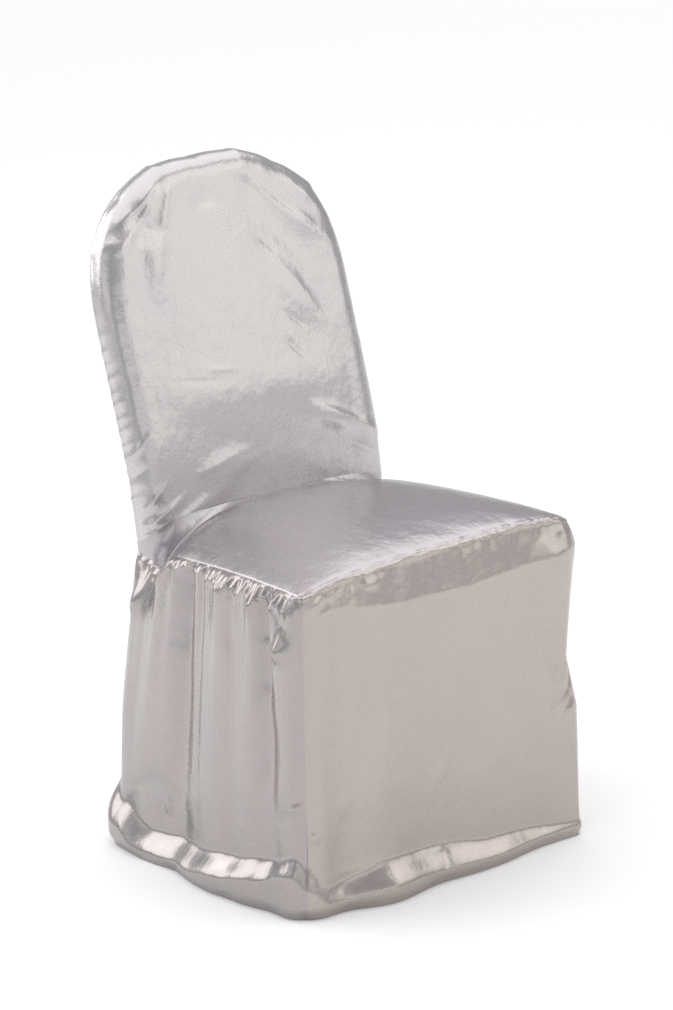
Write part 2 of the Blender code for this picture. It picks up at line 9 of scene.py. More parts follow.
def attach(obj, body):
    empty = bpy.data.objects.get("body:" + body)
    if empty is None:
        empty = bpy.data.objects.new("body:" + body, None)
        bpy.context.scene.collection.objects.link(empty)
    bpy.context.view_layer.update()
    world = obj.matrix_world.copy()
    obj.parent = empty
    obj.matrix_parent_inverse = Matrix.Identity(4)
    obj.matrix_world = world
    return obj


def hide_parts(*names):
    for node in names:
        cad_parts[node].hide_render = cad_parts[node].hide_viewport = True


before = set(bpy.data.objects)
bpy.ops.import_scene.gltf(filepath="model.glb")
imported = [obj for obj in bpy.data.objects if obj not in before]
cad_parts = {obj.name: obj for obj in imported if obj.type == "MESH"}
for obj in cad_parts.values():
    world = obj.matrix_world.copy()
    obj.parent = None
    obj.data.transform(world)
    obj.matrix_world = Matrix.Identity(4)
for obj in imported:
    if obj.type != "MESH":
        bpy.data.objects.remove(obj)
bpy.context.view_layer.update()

# The camera stands to the left of the front corner, a little above the seat, about four metres off, and
# is held slightly turned. It looks at a point inside the cover, just above its seat.

CAMERA_TURN = math.radians(-35.469)  # round the cover, from straight in front of it
CAMERA_RISE = math.radians(17.156)
CAMERA_ROLL = math.radians(3.980)
CAMERA_DISTANCE = 4.1435
CAMERA_AIM = Vector((0.01243, -0.02499, 0.48629))
CAMERA_LENS = 105.74

to_camera = Vector((
    math.sin(CAMERA_TURN) * math.cos(CAMERA_RISE),
    -math.cos(CAMERA_TURN) * math.cos(CAMERA_RISE),
    math.sin(CAMERA_RISE),
))
level_right = Vector((0, 0, 1)).cross(to_camera).normalized()
level_up = to_camera.cross(level_right)
camera_right = math.cos(CAMERA_ROLL) * level_right - math.sin(CAMERA_ROLL) * level_up
camera_up = math.sin(CAMERA_ROLL) * level_right + math.cos(CAMERA_ROLL) * level_up
camera = bpy.data.objects.new("camera", bpy.data.cameras.new("camera"))
camera.data.lens = CAMERA_LENS
camera.matrix_world = (
    Matrix.Translation(CAMERA_AIM + to_camera * CAMERA_DISTANCE)
    @ Matrix((camera_right, camera_up, to_camera)).transposed().to_4x4()
)
bpy.context.scene.collection.objects.link(camera)
bpy.context.scene.camera = camera

# The stage is a plain white paper floor in a pale room, whitened by a wide soft ceiling light. Two softboxes
# stand to the right of the cover, one above the other, one stands to its left, one beside the camera, and a
# large one behind the cover to the left.

FLOOR_SIDE = 60.0
FLOOR_DROP = 0.0006  # the paper lies just under the hem
FLOOR_WHITE = 0.92

floor_mesh = bpy.data.meshes.new("paper_floor")
half = FLOOR_SIDE / 2
floor_corners = [(-half, -half), (half, -half), (half, half), (-half, half)]
floor_mesh.from_pydata([(x, y, -FLOOR_DROP) for x, y in floor_corners], [], [(0, 1, 2, 3)])
paper = bpy.data.materials.new("paper")
paper.use_nodes = True
paper_shader = paper.node_tree.nodes["Principled BSDF"]
paper_shader.inputs["Base Color"].default_value = (FLOOR_WHITE, FLOOR_WHITE, FLOOR_WHITE, 1)
paper_shader.inputs["Roughness"].default_value = 0.9
paper_shader.inputs["Specular IOR Level"].default_value = 0.1
floor_mesh.materials.append(paper)
floor = bpy.data.objects.new("paper_floor", floor_mesh)
bpy.context.scene.collection.objects.link(floor)

CEILING_LIGHT = 2.02  # watts per square metre
CEILING_ANGLE = math.radians(88)
CEILING_LEAN = (math.radians(-10), math.radians(8), 0.0)  # it leans a little off straight down
ROOM_LIGHT = 0.45
SOFTBOX_COLUMNS = ("name", "at", "towards", "wide", "tall", "watts", "colour")
SOFTBOXES = (
    ("front_right", (1.65, -2.3, 1.30), (0.0, 0.1, 0.9), 2.4, 0.9, 7.4, (1.0, 0.99, 0.97)),
    ("front_high", (1.65, -2.2, 2.55), (0.0, 0.0, 0.3), 2.4, 1.5, 15.0, (1.0, 0.99, 0.97)),
    ("behind_left", (-2.1, 2.5, 2.2), (0.0, 0.0, 0.3), 3.0, 2.4, 50.0, (1.0, 1.0, 1.0)),
    ("beside_camera", (-1.05, -4.85, 1.35), (0.0, 0.0, 0.8), 4.4, 1.0, 13.0, (1.0, 1.0, 1.0)),
    ("left", (-3.2, -0.4, 1.6), (0.0, 0.1, 1.1), 2.6, 1.0, 6.0, (1.0, 1.0, 1.0)),
)

ceiling_light = bpy.data.lights.new("ceiling", "SUN")
ceiling_light.energy = CEILING_LIGHT
ceiling_light.angle = CEILING_ANGLE
ceiling = bpy.data.objects.new("ceiling", ceiling_light)
ceiling.rotation_euler = CEILING_LEAN
bpy.context.scene.collection.objects.link(ceiling)

for row in SOFTBOXES:
    softbox = dict(zip(SOFTBOX_COLUMNS, row))
    light = bpy.data.lights.new(softbox["name"], "AREA")
    light.shape = "RECTANGLE"
    light.size, light.size_y = softbox["wide"], softbox["tall"]
    light.energy = softbox["watts"]
    light.color = softbox["colour"]
    lamp = bpy.data.objects.new(softbox["name"], light)
    lamp.location = softbox["at"]
    aim = Vector(softbox["towards"]) - lamp.location
    lamp.rotation_euler = aim.to_track_quat("-Z", "Y").to_euler()
    bpy.context.scene.collection.objects.link(lamp)

world = bpy.data.worlds.new("pale_room")
world.use_nodes = True
world.node_tree.nodes["Background"].inputs["Color"].default_value = (0.96, 0.97, 1.0, 1)
world.node_tree.nodes["Background"].inputs["Strength"].default_value = ROOM_LIGHT
bpy.context.scene.world = world
bpy.context.scene.view_settings.view_transform = "Standard"

# The front of the sleeve is one piece of satin with the strip that turns round its padded edge. It is pulled
# tight over a round top that leans back, and is sewn to the rear panel and to the seat.

SEAT_MIDDLE = np.array([0.01572, -0.04110, 0.0])  # sizes are measured from the middle of the seat
BACK_FACE_Y = 0.172  # where the face of the back meets the seat
BACK_FOOT_HEIGHT = 0.416  # where lengths up the back are measured from
BACK_HALF_WIDTH = 0.211
BACK_THICKNESS = 0.042
BACK_EDGE_WIDE = 0.045  # width of the rounded edge, a quarter of a superellipse as deep as the back
BACK_EDGE_POWER = 3.0
BACK_STRAIGHT = 0.330  # length of the straight sides, measured up the rake
BACK_LENGTH = 0.551  # the same to the top of the arch
ARCH_POWER = 2.58
SIDE_TOP = 0.405  # length up the back where the columns of points at the sides end
BACK_CROWN = 0.007
CROWN_AT_SEAT = 0.1
RAKE_LOW = math.radians(4.5)
RAKE_HIGH = math.radians(13.5)
RAKE_TURN = 0.125
RAKE_BLEND = 0.055
SEAM_UP_EDGE, SEAM_UP_MIDDLE = 0.050, 0.055  # how far up the back the seat's seam crosses it
SEAM_TILT = -0.030
SEAM_FOOT = 0.0245  # and where it ends at the rear of the rounded edge
CROWN_POWER = 4.0
FOLDS_FADE_POWER = 6.0
SHOULDER_ACROSS, SHOULDER_UP, SHOULDER_OUT, SHOULDER_WIDE = 0.180, 0.474, 0.0035, 0.035  # a loose corner
SPINE_STEP = 0.0025
SATIN_THICK = 0.0008
WELD = 1e-5  # points this near to each other become one
SEAM_SINK = 0.0006  # how deep a line of stitches draws the cloth in
SEAM_SINK_WIDE = 0.0014
SEAM_ROLL = 0.0009  # how far the cloth rolls up beside the stitches
SEAM_ROLL_AT = 0.0042
SEAM_ROLL_WIDE = 0.0024
ROLL_SWELL, ROLL_RIPPLE = 0.5, 0.3  # the shares by which that roll varies along the seam
ROLL_TURNS = (420, 97, 171)  # radians per metre: the swell's two sines, and the ripple's
GATHER_START = 0.003  # how far from a seam its gathers begin
GATHER_WANDERS = ((0.004, 61, 0.0), (0.003, 143, 1.0))  # reach, radians per metre and phase

# Broad folds: from one place to another, height and half width
FOLD_COLUMNS = ("across_from", "up_from", "across_to", "up_to", "high", "wide")
BACK_FOLDS = (
    (0.020, 0.520, 0.215, 0.370, 0.0040, 0.014),
    (-0.010, 0.500, 0.200, 0.330, -0.0030, 0.018),
    (0.010, 0.440, 0.185, 0.210, 0.0018, 0.016),
    (-0.115, 0.520, -0.130, 0.340, 0.0030, 0.014),
    (-0.150, 0.500, -0.185, 0.370, -0.0030, 0.016),
    (0.065, 0.165, 0.215, 0.085, 0.0045, 0.013),
    (-0.150, 0.085, 0.020, 0.125, 0.0030, 0.017),
    (-0.200, 0.030, -0.040, 0.095, 0.0030, 0.015),
)
FOLD_TAPER = 0.5
RIDGE_UP, RIDGE_SLOPE, RIDGE_HIGH, RIDGE_WIDE = 0.208, -0.107, 0.0038, 0.045  # where the padding swells

# Creases: from one place to another, how far the line bows, height, half width at its start and end,
# lean to one side, and the shares of its length over which it fades in and out
CREASE_COLUMNS = (
    "across_from", "up_from", "across_to", "up_to", "bow", "high", "wide_from", "wide_to", "lean", "fade_in",
    "fade_out",
)
BACK_CREASES = (
    (-0.070, 0.520, -0.098, 0.450, 0.0, 0.0026, 0.006, 0.012, 0.0, 0.3, 0.2),
    (-0.094, 0.465, -0.138, 0.345, 0.0, 0.0026, 0.010, 0.022, 0.0, 0.2, 0.6),
    (-0.125, 0.505, -0.140, 0.430, 0.0, -0.0030, 0.014, 0.020, 0.0, 0.4, 0.5),
    (-0.080, 0.532, -0.185, 0.470, -0.010, 0.0026, 0.004, 0.006, 0.2, 0.3, 0.4),
    (-0.095, 0.515, -0.200, 0.430, -0.012, 0.0022, 0.004, 0.007, -0.2, 0.3, 0.4),
    (-0.055, 0.482, 0.035, 0.470, -0.008, -0.0022, 0.011, 0.015, 0.0, 0.4, 0.5),
    (0.030, 0.515, 0.150, 0.430, 0.004, -0.0034, 0.014, 0.018, 0.2, 0.3, 0.4),
    (0.050, 0.524, 0.200, 0.380, 0.012, 0.0026, 0.006, 0.011, 0.2, 0.3, 0.3),
    (0.100, 0.492, 0.182, 0.398, 0.006, 0.0014, 0.005, 0.006, 0.0, 0.4, 0.4),
    (0.120, 0.504, 0.215, 0.410, 0.006, 0.0014, 0.004, 0.006, 0.0, 0.4, 0.3),
    (0.052, 0.424, 0.096, 0.378, 0.0, -0.0012, 0.0024, 0.003, 0.3, 0.3, 0.5),
    (0.058, 0.408, 0.152, 0.260, -0.006, 0.0018, 0.008, 0.013, 0.3, 0.4, 0.5),
    (0.070, 0.314, 0.114, 0.271, 0.002, -0.0014, 0.0024, 0.003, 0.3, 0.4, 0.5),
    (0.064, 0.274, 0.102, 0.224, 0.003, -0.0012, 0.0024, 0.004, 0.0, 0.4, 0.5),
    (-0.090, 0.251, -0.020, 0.239, 0.0, 0.0008, 0.0024, 0.0024, 0.0, 0.4, 0.4),
    (-0.165, 0.250, -0.030, 0.226, 0.002, -0.0008, 0.0026, 0.003, 0.0, 0.5, 0.4),
    (0.072, 0.174, 0.218, 0.088, -0.004, 0.0034, 0.007, 0.013, 0.3, 0.4, 0.2),
    (0.110, 0.120, 0.215, 0.056, 0.0, 0.0015, 0.006, 0.008, 0.0, 0.5, 0.4),
    (-0.150, 0.100, -0.025, 0.130, 0.0, 0.0026, 0.007, 0.012, -0.3, 0.5, 0.4),
    (-0.232, 0.045, -0.120, 0.104, 0.006, 0.0028, 0.004, 0.010, 0.2, 0.2, 0.5),
    (-0.232, 0.032, -0.085, 0.084, 0.006, 0.0026, 0.003, 0.010, 0.0, 0.2, 0.5),
    (-0.228, 0.060, -0.160, 0.118, 0.0, 0.0020, 0.003, 0.006, 0.0, 0.3, 0.5),
    (-0.240, 0.138, -0.178, 0.184, 0.0, 0.0022, 0.003, 0.005, 0.0, 0.2, 0.5),
    (-0.238, 0.118, -0.192, 0.135, 0.0, -0.0018, 0.004, 0.004, 0.0, 0.3, 0.5),
    (-0.235, 0.470, -0.140, 0.440, 0.006, 0.0026, 0.008, 0.012, 0.3, 0.2, 0.5),
    (-0.180, 0.560, -0.115, 0.470, 0.004, -0.0028, 0.010, 0.014, 0.0, 0.2, 0.5),
    (-0.100, 0.600, -0.060, 0.490, -0.004, 0.0026, 0.009, 0.014, 0.3, 0.2, 0.5),
    (-0.020, 0.615, 0.010, 0.500, 0.004, -0.0024, 0.010, 0.016, 0.0, 0.2, 0.5),
    (0.080, 0.610, 0.050, 0.490, 0.004, 0.0026, 0.008, 0.014, -0.3, 0.2, 0.5),
    (0.150, 0.570, 0.090, 0.480, -0.004, -0.0026, 0.010, 0.014, 0.0, 0.2, 0.5),
    (0.215, 0.500, 0.130, 0.440, 0.004, 0.0026, 0.007, 0.012, 0.3, 0.2, 0.5),
)
RIDGE_CORE, VALLEY_CORE = 0.4, 0.9  # how round a crease is at its middle; valleys are softer

# Short puckers where the sleeve's two sides are sewn: how far up each one is
PUCKERS_UP = (0.085, 0.104, 0.128, 0.150, 0.166, 0.187, 0.204, 0.226, 0.240, 0.262, 0.281, 0.300, 0.324)
PUCKER_OUT, PUCKER_IN, PUCKER_IN_VARY = 0.243, 0.202, 0.012  # where it starts and ends across
PUCKER_SLOPE = 0.012
PUCKER_HIGH, PUCKER_HIGH_VARY = 0.0014, 0.0005
PUCKER_SHAPE = (0.004, 0.006, 0.3, 0.1, 0.8)  # the last five columns of a crease
IN_TURNS, HIGH_TURNS = 300, 170  # radians per metre at which the two vary up the side
SIDE_PUCKERS = tuple(
    (
        side * PUCKER_OUT, up,
        side * (PUCKER_IN + PUCKER_IN_VARY * math.sin(up * IN_TURNS)), up + PUCKER_SLOPE,
        0.0, PUCKER_HIGH + PUCKER_HIGH_VARY * math.sin(up * HIGH_TURNS), *PUCKER_SHAPE,
    )
    for side in (-1, 1) for up in PUCKERS_UP
)

# Lumps: place across and up, turn in degrees, half length, half width and height
LUMP_COLUMNS = ("across", "up", "turn", "long", "wide", "high")


def smooth(share):
    """0 at 0 and 1 at 1, level at both ends: 3 s^2 - 2 s^3."""
    share = np.clip(share, 0.0, 1.0)
    return share * share * (3 - 2 * share)


def bell(distance):
    """1 at 0, falling to nearly nothing at 2: exp(-d^2)."""
    return np.exp(-distance * distance)


def spread(length, places, steps):
    """Shares from 0 to 1 along a length. The step between them changes evenly from place to place."""
    fine = np.linspace(0.0, length, 4000)
    count = np.concatenate([[0.0], np.cumsum(np.diff(fine) / np.interp(fine[1:], places, steps))])
    return np.interp(np.linspace(0, count[-1], math.ceil(count[-1]) + 1), count, fine) / length


def rake(up):
    """The lean of the back at a length up it: nearly upright above the seat, and then further back."""
    return RAKE_LOW + (RAKE_HIGH - RAKE_LOW) * smooth((up - RAKE_TURN + RAKE_BLEND) / (2 * RAKE_BLEND))


spine_up = np.arange(0.0, BACK_LENGTH + BACK_THICKNESS, SPINE_STEP)
spine_y = np.cumsum(np.sin(rake(spine_up)) * SPINE_STEP)
spine_z = np.cumsum(np.cos(rake(spine_up)) * SPINE_STEP)


def on_back(x, up, depth):
    """A point of the back: across, a length up the rake's curve, and a depth square to it."""
    lean = rake(up)
    y = BACK_FACE_Y + np.interp(up, spine_up, spine_y) + depth * np.cos(lean)
    z = BACK_FOOT_HEIGHT + np.interp(up, spine_up, spine_z) - depth * np.sin(lean)
    return np.stack(np.broadcast_arrays(x, y, z), axis=-1)


def folds(rows, across, up):
    """The broad folds' lift: a bell across each line, which fades towards its ends."""
    lift = np.zeros(np.broadcast(across, up).shape)
    for row in rows:
        fold = dict(zip(FOLD_COLUMNS, row))
        way = np.array([fold["across_to"] - fold["across_from"], fold["up_to"] - fold["up_from"]])
        length = np.hypot(*way)
        way /= length
        right, above = across - fold["across_from"], up - fold["up_from"]
        along = (right * way[0] + above * way[1]) / length
        aside = right * way[1] - above * way[0]
        ends = smooth(along / FOLD_TAPER) * smooth((1 - along) / FOLD_TAPER)
        lift += fold["high"] * ends * bell(aside / fold["wide"])
    return lift


def creases(rows, across, up):
    """The creases' lift across lines bowed as parabolas: a rounded tent, exp(core - sqrt(d^2 + core^2))."""
    lift = np.zeros(np.broadcast(across, up).shape)
    for row in rows:
        crease = dict(zip(CREASE_COLUMNS, row))
        way = np.array([crease["across_to"] - crease["across_from"], crease["up_to"] - crease["up_from"]])
        length = np.hypot(*way)
        way /= length
        right, above = across - crease["across_from"], up - crease["up_from"]
        along = (right * way[0] + above * way[1]) / length
        inside = np.clip(along, 0.0, 1.0)
        aside = right * way[1] - above * way[0] - crease["bow"] * 4 * inside * (1 - inside)
        wide = crease["wide_from"] + (crease["wide_to"] - crease["wide_from"]) * inside
        wide = wide * np.where(aside > 0, 1 + crease["lean"], 1 - crease["lean"])
        ends = smooth(along / crease["fade_in"]) * smooth((1 - along) / crease["fade_out"])
        core = RIDGE_CORE if crease["high"] > 0 else VALLEY_CORE
        lift += crease["high"] * ends * np.exp(core - np.hypot(aside / wide, core))
    return lift


def lumps(rows, across, up):
    """The lumps' lift: a bell over a turned ellipse about each place."""
    lift = np.zeros(np.broadcast(across, up).shape)
    for row in rows:
        lump = dict(zip(LUMP_COLUMNS, row))
        turn = math.radians(lump["turn"])
        right, above = across - lump["across"], up - lump["up"]
        along = right * math.cos(turn) + above * math.sin(turn)
        aside = above * math.cos(turn) - right * math.sin(turn)
        lift += lump["high"] * bell(np.hypot(along / lump["long"], aside / lump["wide"]))
    return lift


def waves(rows, across, drop):
    """Gathers below a seam: sines of several lengths along it, unevenly spaced, that fade as they fall."""
    uneven = across + sum(reach * np.sin(across * turns + phase) for reach, turns, phase in GATHER_WANDERS)
    lift = np.zeros(np.broadcast(across, drop).shape)
    for length, high, fade, phase in rows:
        lift += high * np.sin(2 * math.pi * uneven / length + phase) * np.exp(-drop / fade)
    return lift * (1 - np.exp(-drop / GATHER_START))


def seat_seam_up(x):
    """How far up the back the seat's seam crosses it: level in the middle, tilted, lower at its ends."""
    side = BACK_HALF_WIDTH - BACK_EDGE_WIDE
    crown = (SEAM_UP_MIDDLE - SEAM_UP_EDGE) * (1 - np.abs(x / side) ** CROWN_POWER)
    return SEAM_UP_EDGE + crown + SEAM_TILT * x


SLANT = math.sqrt(0.5)  # a seam between two faces at right angles sinks along the line between them


def sewn(distance):
    """How far stitches at a distance draw the cloth in: a bell about the seam."""
    return SEAM_SINK * bell(distance / SEAM_SINK_WIDE)


def rolled(distance, along=0.0):
    """How far the cloth rolls up beside a seam: a bell a few millimetres from it, uneven along the seam."""
    swell = np.sin(along * ROLL_TURNS[0]) * np.sin(along * ROLL_TURNS[1] + 1)
    uneven = 1 + ROLL_SWELL * swell + ROLL_RIPPLE * np.sin(along * ROLL_TURNS[2])
    return SEAM_ROLL * uneven * bell((distance - SEAM_ROLL_AT) / SEAM_ROLL_WIDE)


fine_turns = np.linspace(0.0, math.pi / 2, 2000)
fine_reach = BACK_EDGE_WIDE * np.sin(fine_turns) ** (2 / BACK_EDGE_POWER)
fine_depth = BACK_THICKNESS * (1 - np.cos(fine_turns) ** (2 / BACK_EDGE_POWER))
fine_girth = np.append(0.0, np.cumsum(np.hypot(np.diff(fine_reach), np.diff(fine_depth))))
fine_facing = np.arctan2(np.gradient(fine_depth), np.gradient(fine_reach))  # 0 faces forwards
edge_girth = fine_girth[-1]


def edge_turn(share):
    """Where the rounded edge is at a share of the cloth's length round it: turn, reach out, and depth."""
    girth = share * edge_girth
    return tuple(np.interp(girth, fine_girth, fine) for fine in (fine_turns, fine_reach, fine_depth))


BACK_STEP = 0.0026  # the distance between points of the cloth, which shrinks beside a seam
side_shares = spread(SIDE_TOP, (0.0, 0.004, 0.010, SIDE_TOP), (0.0008, 0.0014, BACK_STEP, BACK_STEP))
across_shares = 2 * spread(2 * BACK_HALF_WIDTH, (0.0, 1.0), (BACK_STEP, BACK_STEP)) - 1
turn_shares = spread(edge_girth, (0.0, 0.062, 0.069, edge_girth), (0.0028, 0.0028, 0.0012, 0.0008))


def sleeve_outline(inset, feet):
    """The back's outline from bottom left over the arch to bottom right, one row for each pair of feet.

    Straight sides and then |x / half|^p + |rise|^p = 1. Gives places across and up, and the way out.
    """
    side, rise = BACK_HALF_WIDTH - inset, BACK_LENGTH - inset - BACK_STRAIGHT
    up = feet[..., None] + (SIDE_TOP - feet[..., None]) * side_shares
    arch = np.clip((up - BACK_STRAIGHT) / rise, 0, 1)
    x = side * (1 - arch**ARCH_POWER) ** (1 / ARCH_POWER)
    top_x = x[:, :1, -1] * across_shares[1:-1]
    top_up = BACK_STRAIGHT + rise * (1 - np.abs(top_x / side) ** ARCH_POWER) ** (1 / ARCH_POWER)
    x = np.concatenate([-x[:, 0], top_x, x[:, 1, ::-1]], axis=1)
    up = np.concatenate([up[:, 0], top_up, up[:, 1, ::-1]], axis=1)
    arch = np.clip((up - BACK_STRAIGHT) / rise, 0, 1)
    out_x = np.sign(x) * np.abs(x / side) ** (ARCH_POWER - 1) / side
    out_up = arch ** (ARCH_POWER - 1) / rise
    size = np.hypot(out_x, out_up)
    return x, up, out_x / size, out_up / size


def side_and_top(line):
    """Splits values along an outline into its left side, its right side, each upwards, and its top."""
    count = len(side_shares)
    return line[:count], line[: -count - 1 : -1], line[count - 1 : len(line) - count + 1]


def sleeve_face():
    """The padded face: rows from the seat's seam up to the arch, with its crown, folds and creases."""
    half_face = BACK_HALF_WIDTH - BACK_EDGE_WIDE
    feet = seat_seam_up(np.array([[-half_face, half_face]]))
    edge_x, edge_up, _, _ = sleeve_outline(BACK_EDGE_WIDE, feet)
    left_x, right_x, _ = side_and_top(edge_x[0])
    _, _, top_up = side_and_top(edge_up[0])
    share = side_shares[:, None]
    x = left_x[:, None] + (right_x - left_x)[:, None] * (across_shares + 1) / 2
    start = seat_seam_up(half_face * across_shares)
    up = start + (top_up - start) * share
    clear_of_edges = (1 - np.abs(across_shares) ** FOLDS_FADE_POWER) * (1 - share**FOLDS_FADE_POWER)
    climbed = CROWN_AT_SEAT + (1 - CROWN_AT_SEAT) * share
    lift = BACK_CROWN * (1 - across_shares**2) ** 2 * np.sin(math.pi * climbed) ** 2
    lift = lift + folds(BACK_FOLDS, x, up) * clear_of_edges
    lift = lift + RIDGE_HIGH * bell((up - RIDGE_UP - RIDGE_SLOPE * x) / RIDGE_WIDE) * clear_of_edges
    lift = lift + creases(BACK_CREASES + SIDE_PUCKERS, x, up)
    return on_back(x, up, -lift), np.stack([x, up], axis=-1), feet[0]


def sleeve_turn(feet):
    """The strip round the padded edge, a quarter of a superellipse from the face to the rear seam."""
    share = turn_shares[:, None]
    turn, reach, depth = edge_turn(share)
    turned = turn / (math.pi / 2)
    x, up, out_x, out_up = sleeve_outline(BACK_EDGE_WIDE, feet + (SEAM_FOOT - feet) * turned)
    from_shoulder = np.hypot(x + out_x * reach - SHOULDER_ACROSS, up + out_up * reach - SHOULDER_UP)
    reach = reach + SHOULDER_OUT * bell(from_shoulder / SHOULDER_WIDE) * turned
    flat = np.stack([x + out_x * share * edge_girth, up + out_up * share * edge_girth], axis=-1)
    lift = creases(BACK_CREASES + SIDE_PUCKERS, flat[..., 0], flat[..., 1])
    facing = np.interp(share * edge_girth, fine_girth, fine_facing)
    from_rear = (1 - share) * edge_girth
    lift = (lift + rolled(from_rear)) * (1 - bell(from_rear / SEAM_SINK_WIDE))
    reach = reach + lift * np.sin(facing) - sewn(from_rear) * SLANT
    depth = depth - lift * np.cos(facing) - sewn(from_rear) * SLANT
    rim_x, rim_up = (x + out_x * reach)[-1], (up + out_up * reach)[-1]
    return on_back(x + out_x * reach, up + out_up * reach, depth), flat, rim_x, rim_up


def lay_cloth(name, grids):
    """Makes a piece of cloth from grids of points that meet along their edges, with flat places as its UVs.

    Its cut edges are marked sharp, and the cloth gets its thickness inwards.
    """
    points, places, faces = [], [], []
    start = 0
    for grid, flat, flip in grids:
        rows, columns = grid.shape[:2]
        numbers = start + np.arange(rows * columns).reshape(rows, columns)
        a, b = numbers[:-1, :-1], numbers[:-1, 1:]
        c, d = numbers[1:, 1:], numbers[1:, :-1]
        ring = (a, d, c, b) if flip else (a, b, c, d)
        faces.append(np.stack([corner.ravel() for corner in ring], axis=-1))
        points.append(grid.reshape(-1, 3))
        places.append(flat.reshape(-1, 2))
        start += rows * columns
    faces, places = np.concatenate(faces), np.concatenate(places)
    mesh = bpy.data.meshes.new(name)
    mesh.from_pydata((np.concatenate(points) + SEAT_MIDDLE).tolist(), [], faces.tolist())
    mesh.uv_layers.new(name="cloth").data.foreach_set("uv", places[faces.ravel()].ravel())
    weld = bmesh.new()
    weld.from_mesh(mesh)
    bmesh.ops.remove_doubles(weld, verts=weld.verts, dist=WELD)
    weld.to_mesh(mesh)
    weld.free()
    mesh.shade_smooth()
    edge_of_corner = np.zeros(len(mesh.loops), dtype=int)
    mesh.loops.foreach_get("edge_index", edge_of_corner)
    is_border = np.bincount(edge_of_corner, minlength=len(mesh.edges)) == 1
    mesh.attributes.new("sharp_edge", "BOOLEAN", "EDGE").data.foreach_set("value", is_border)
    piece = bpy.data.objects.new(name, mesh)
    bpy.context.scene.collection.objects.link(piece)
    wall = piece.modifiers.new("thickness", "SOLIDIFY")
    wall.thickness = SATIN_THICK
    wall.offset = -1
    return piece


# Scales of the satin's pattern per metre, across and along, and its detail
DRIFT, CRUMPLE, THREADS, SLUBS = (9, 7, 3), (26, 20, 3), (180, 2600, 2), (60, 700, 2)
CRUMPLE_HIGH, SLUBS_HIGH, THREADS_HIGH = 0.0022, 0.00003, 0.00001
SLUBS_ROUGH = 0.10
SATIN_METALLIC = 0.75
# The back's two tones are the lightest of the lit and shaded copies of the one satin that the pieces are
# given. This is painted light: the level is set by how the back is lit.
BACK_LIT_SILVER, BACK_LIT_SILVER_DARK, BACK_GLOSS = (0.54, 0.52, 0.51), (0.50, 0.475, 0.475), 0.22


def satin_weave_group():
    """The satin's fine pattern: threads across the cloth, slubs along them, and a slight drift of tone."""
    group = bpy.data.node_groups.new("satin weave", "ShaderNodeTree")
    make = group.interface.new_socket
    make(name="Silver", in_out="INPUT", socket_type="NodeSocketColor")
    make(name="Shade", in_out="INPUT", socket_type="NodeSocketColor")
    make(name="Gloss", in_out="INPUT", socket_type="NodeSocketFloat")
    make(name="Tone", in_out="OUTPUT", socket_type="NodeSocketColor")
    make(name="Roughness", in_out="OUTPUT", socket_type="NodeSocketFloat")
    make(name="Normal", in_out="OUTPUT", socket_type="NodeSocketVector")
    nodes, link = group.nodes, group.links.new
    given, out = nodes.new("NodeGroupInput"), nodes.new("NodeGroupOutput")
    place = nodes.new("ShaderNodeUVMap")
    place.uv_map = "cloth"

    def noise(scale_x, scale_y, detail):
        """Soft noise with its own scale along each way of the cloth, per metre."""
        stretch = nodes.new("ShaderNodeMapping")
        stretch.inputs["Scale"].default_value = (scale_x, scale_y, 1)
        link(place.outputs["UV"], stretch.inputs["Vector"])
        texture = nodes.new("ShaderNodeTexNoise")
        texture.inputs["Scale"].default_value = 1.0
        texture.inputs["Detail"].default_value = detail
        link(stretch.outputs["Vector"], texture.inputs["Vector"])
        return texture.outputs["Fac"]

    drift, crumple, threads, slubs = (noise(*scales) for scales in (DRIFT, CRUMPLE, THREADS, SLUBS))
    mix = nodes.new("ShaderNodeMix")
    mix.data_type = "RGBA"
    link(drift, mix.inputs["Factor"])
    link(given.outputs["Silver"], mix.inputs["A"])
    link(given.outputs["Shade"], mix.inputs["B"])
    link(mix.outputs["Result"], out.inputs["Tone"])
    vary = nodes.new("ShaderNodeMath")
    vary.operation = "MULTIPLY_ADD"
    vary.inputs[1].default_value = SLUBS_ROUGH
    link(slubs, vary.inputs[0])
    link(given.outputs["Gloss"], vary.inputs[2])
    link(vary.outputs["Value"], out.inputs["Roughness"])
    height = None
    for texture, high in ((crumple, CRUMPLE_HIGH), (slubs, SLUBS_HIGH), (threads, THREADS_HIGH)):
        layer = nodes.new("ShaderNodeMath")
        layer.operation = "MULTIPLY_ADD"
        layer.inputs[1].default_value = high
        layer.inputs[2].default_value = 0.0
        link(texture, layer.inputs[0])
        if height:
            link(height, layer.inputs[2])
        height = layer.outputs["Value"]
    bump = nodes.new("ShaderNodeBump")
    bump.inputs["Strength"].default_value = 1.0
    bump.inputs["Distance"].default_value = 1.0
    link(height, bump.inputs["Height"])
    link(bump.outputs["Normal"], out.inputs["Normal"])
    return group


satin_weave = satin_weave_group()


def satin(name, silver, shade, gloss):
    """Silver-white satin: a pale, half metallic sheen over the weave, in the tones given for each piece,
    which are lighter or darker copies of one satin standing for painted light and shade.
    """
    material = bpy.data.materials.new(name)
    material.use_nodes = True
    nodes, link = material.node_tree.nodes, material.node_tree.links.new
    shader = nodes["Principled BSDF"]
    shader.inputs["Metallic"].default_value = SATIN_METALLIC
    shader.inputs["Specular IOR Level"].default_value = 0.5
    weave = nodes.new("ShaderNodeGroup")
    weave.node_tree = satin_weave
    weave.inputs["Silver"].default_value = (*silver, 1)
    weave.inputs["Shade"].default_value = (*shade, 1)
    weave.inputs["Gloss"].default_value = gloss
    link(weave.outputs["Tone"], shader.inputs["Base Color"])
    link(weave.outputs["Roughness"], shader.inputs["Roughness"])
    link(weave.outputs["Normal"], shader.inputs["Normal"])
    return material


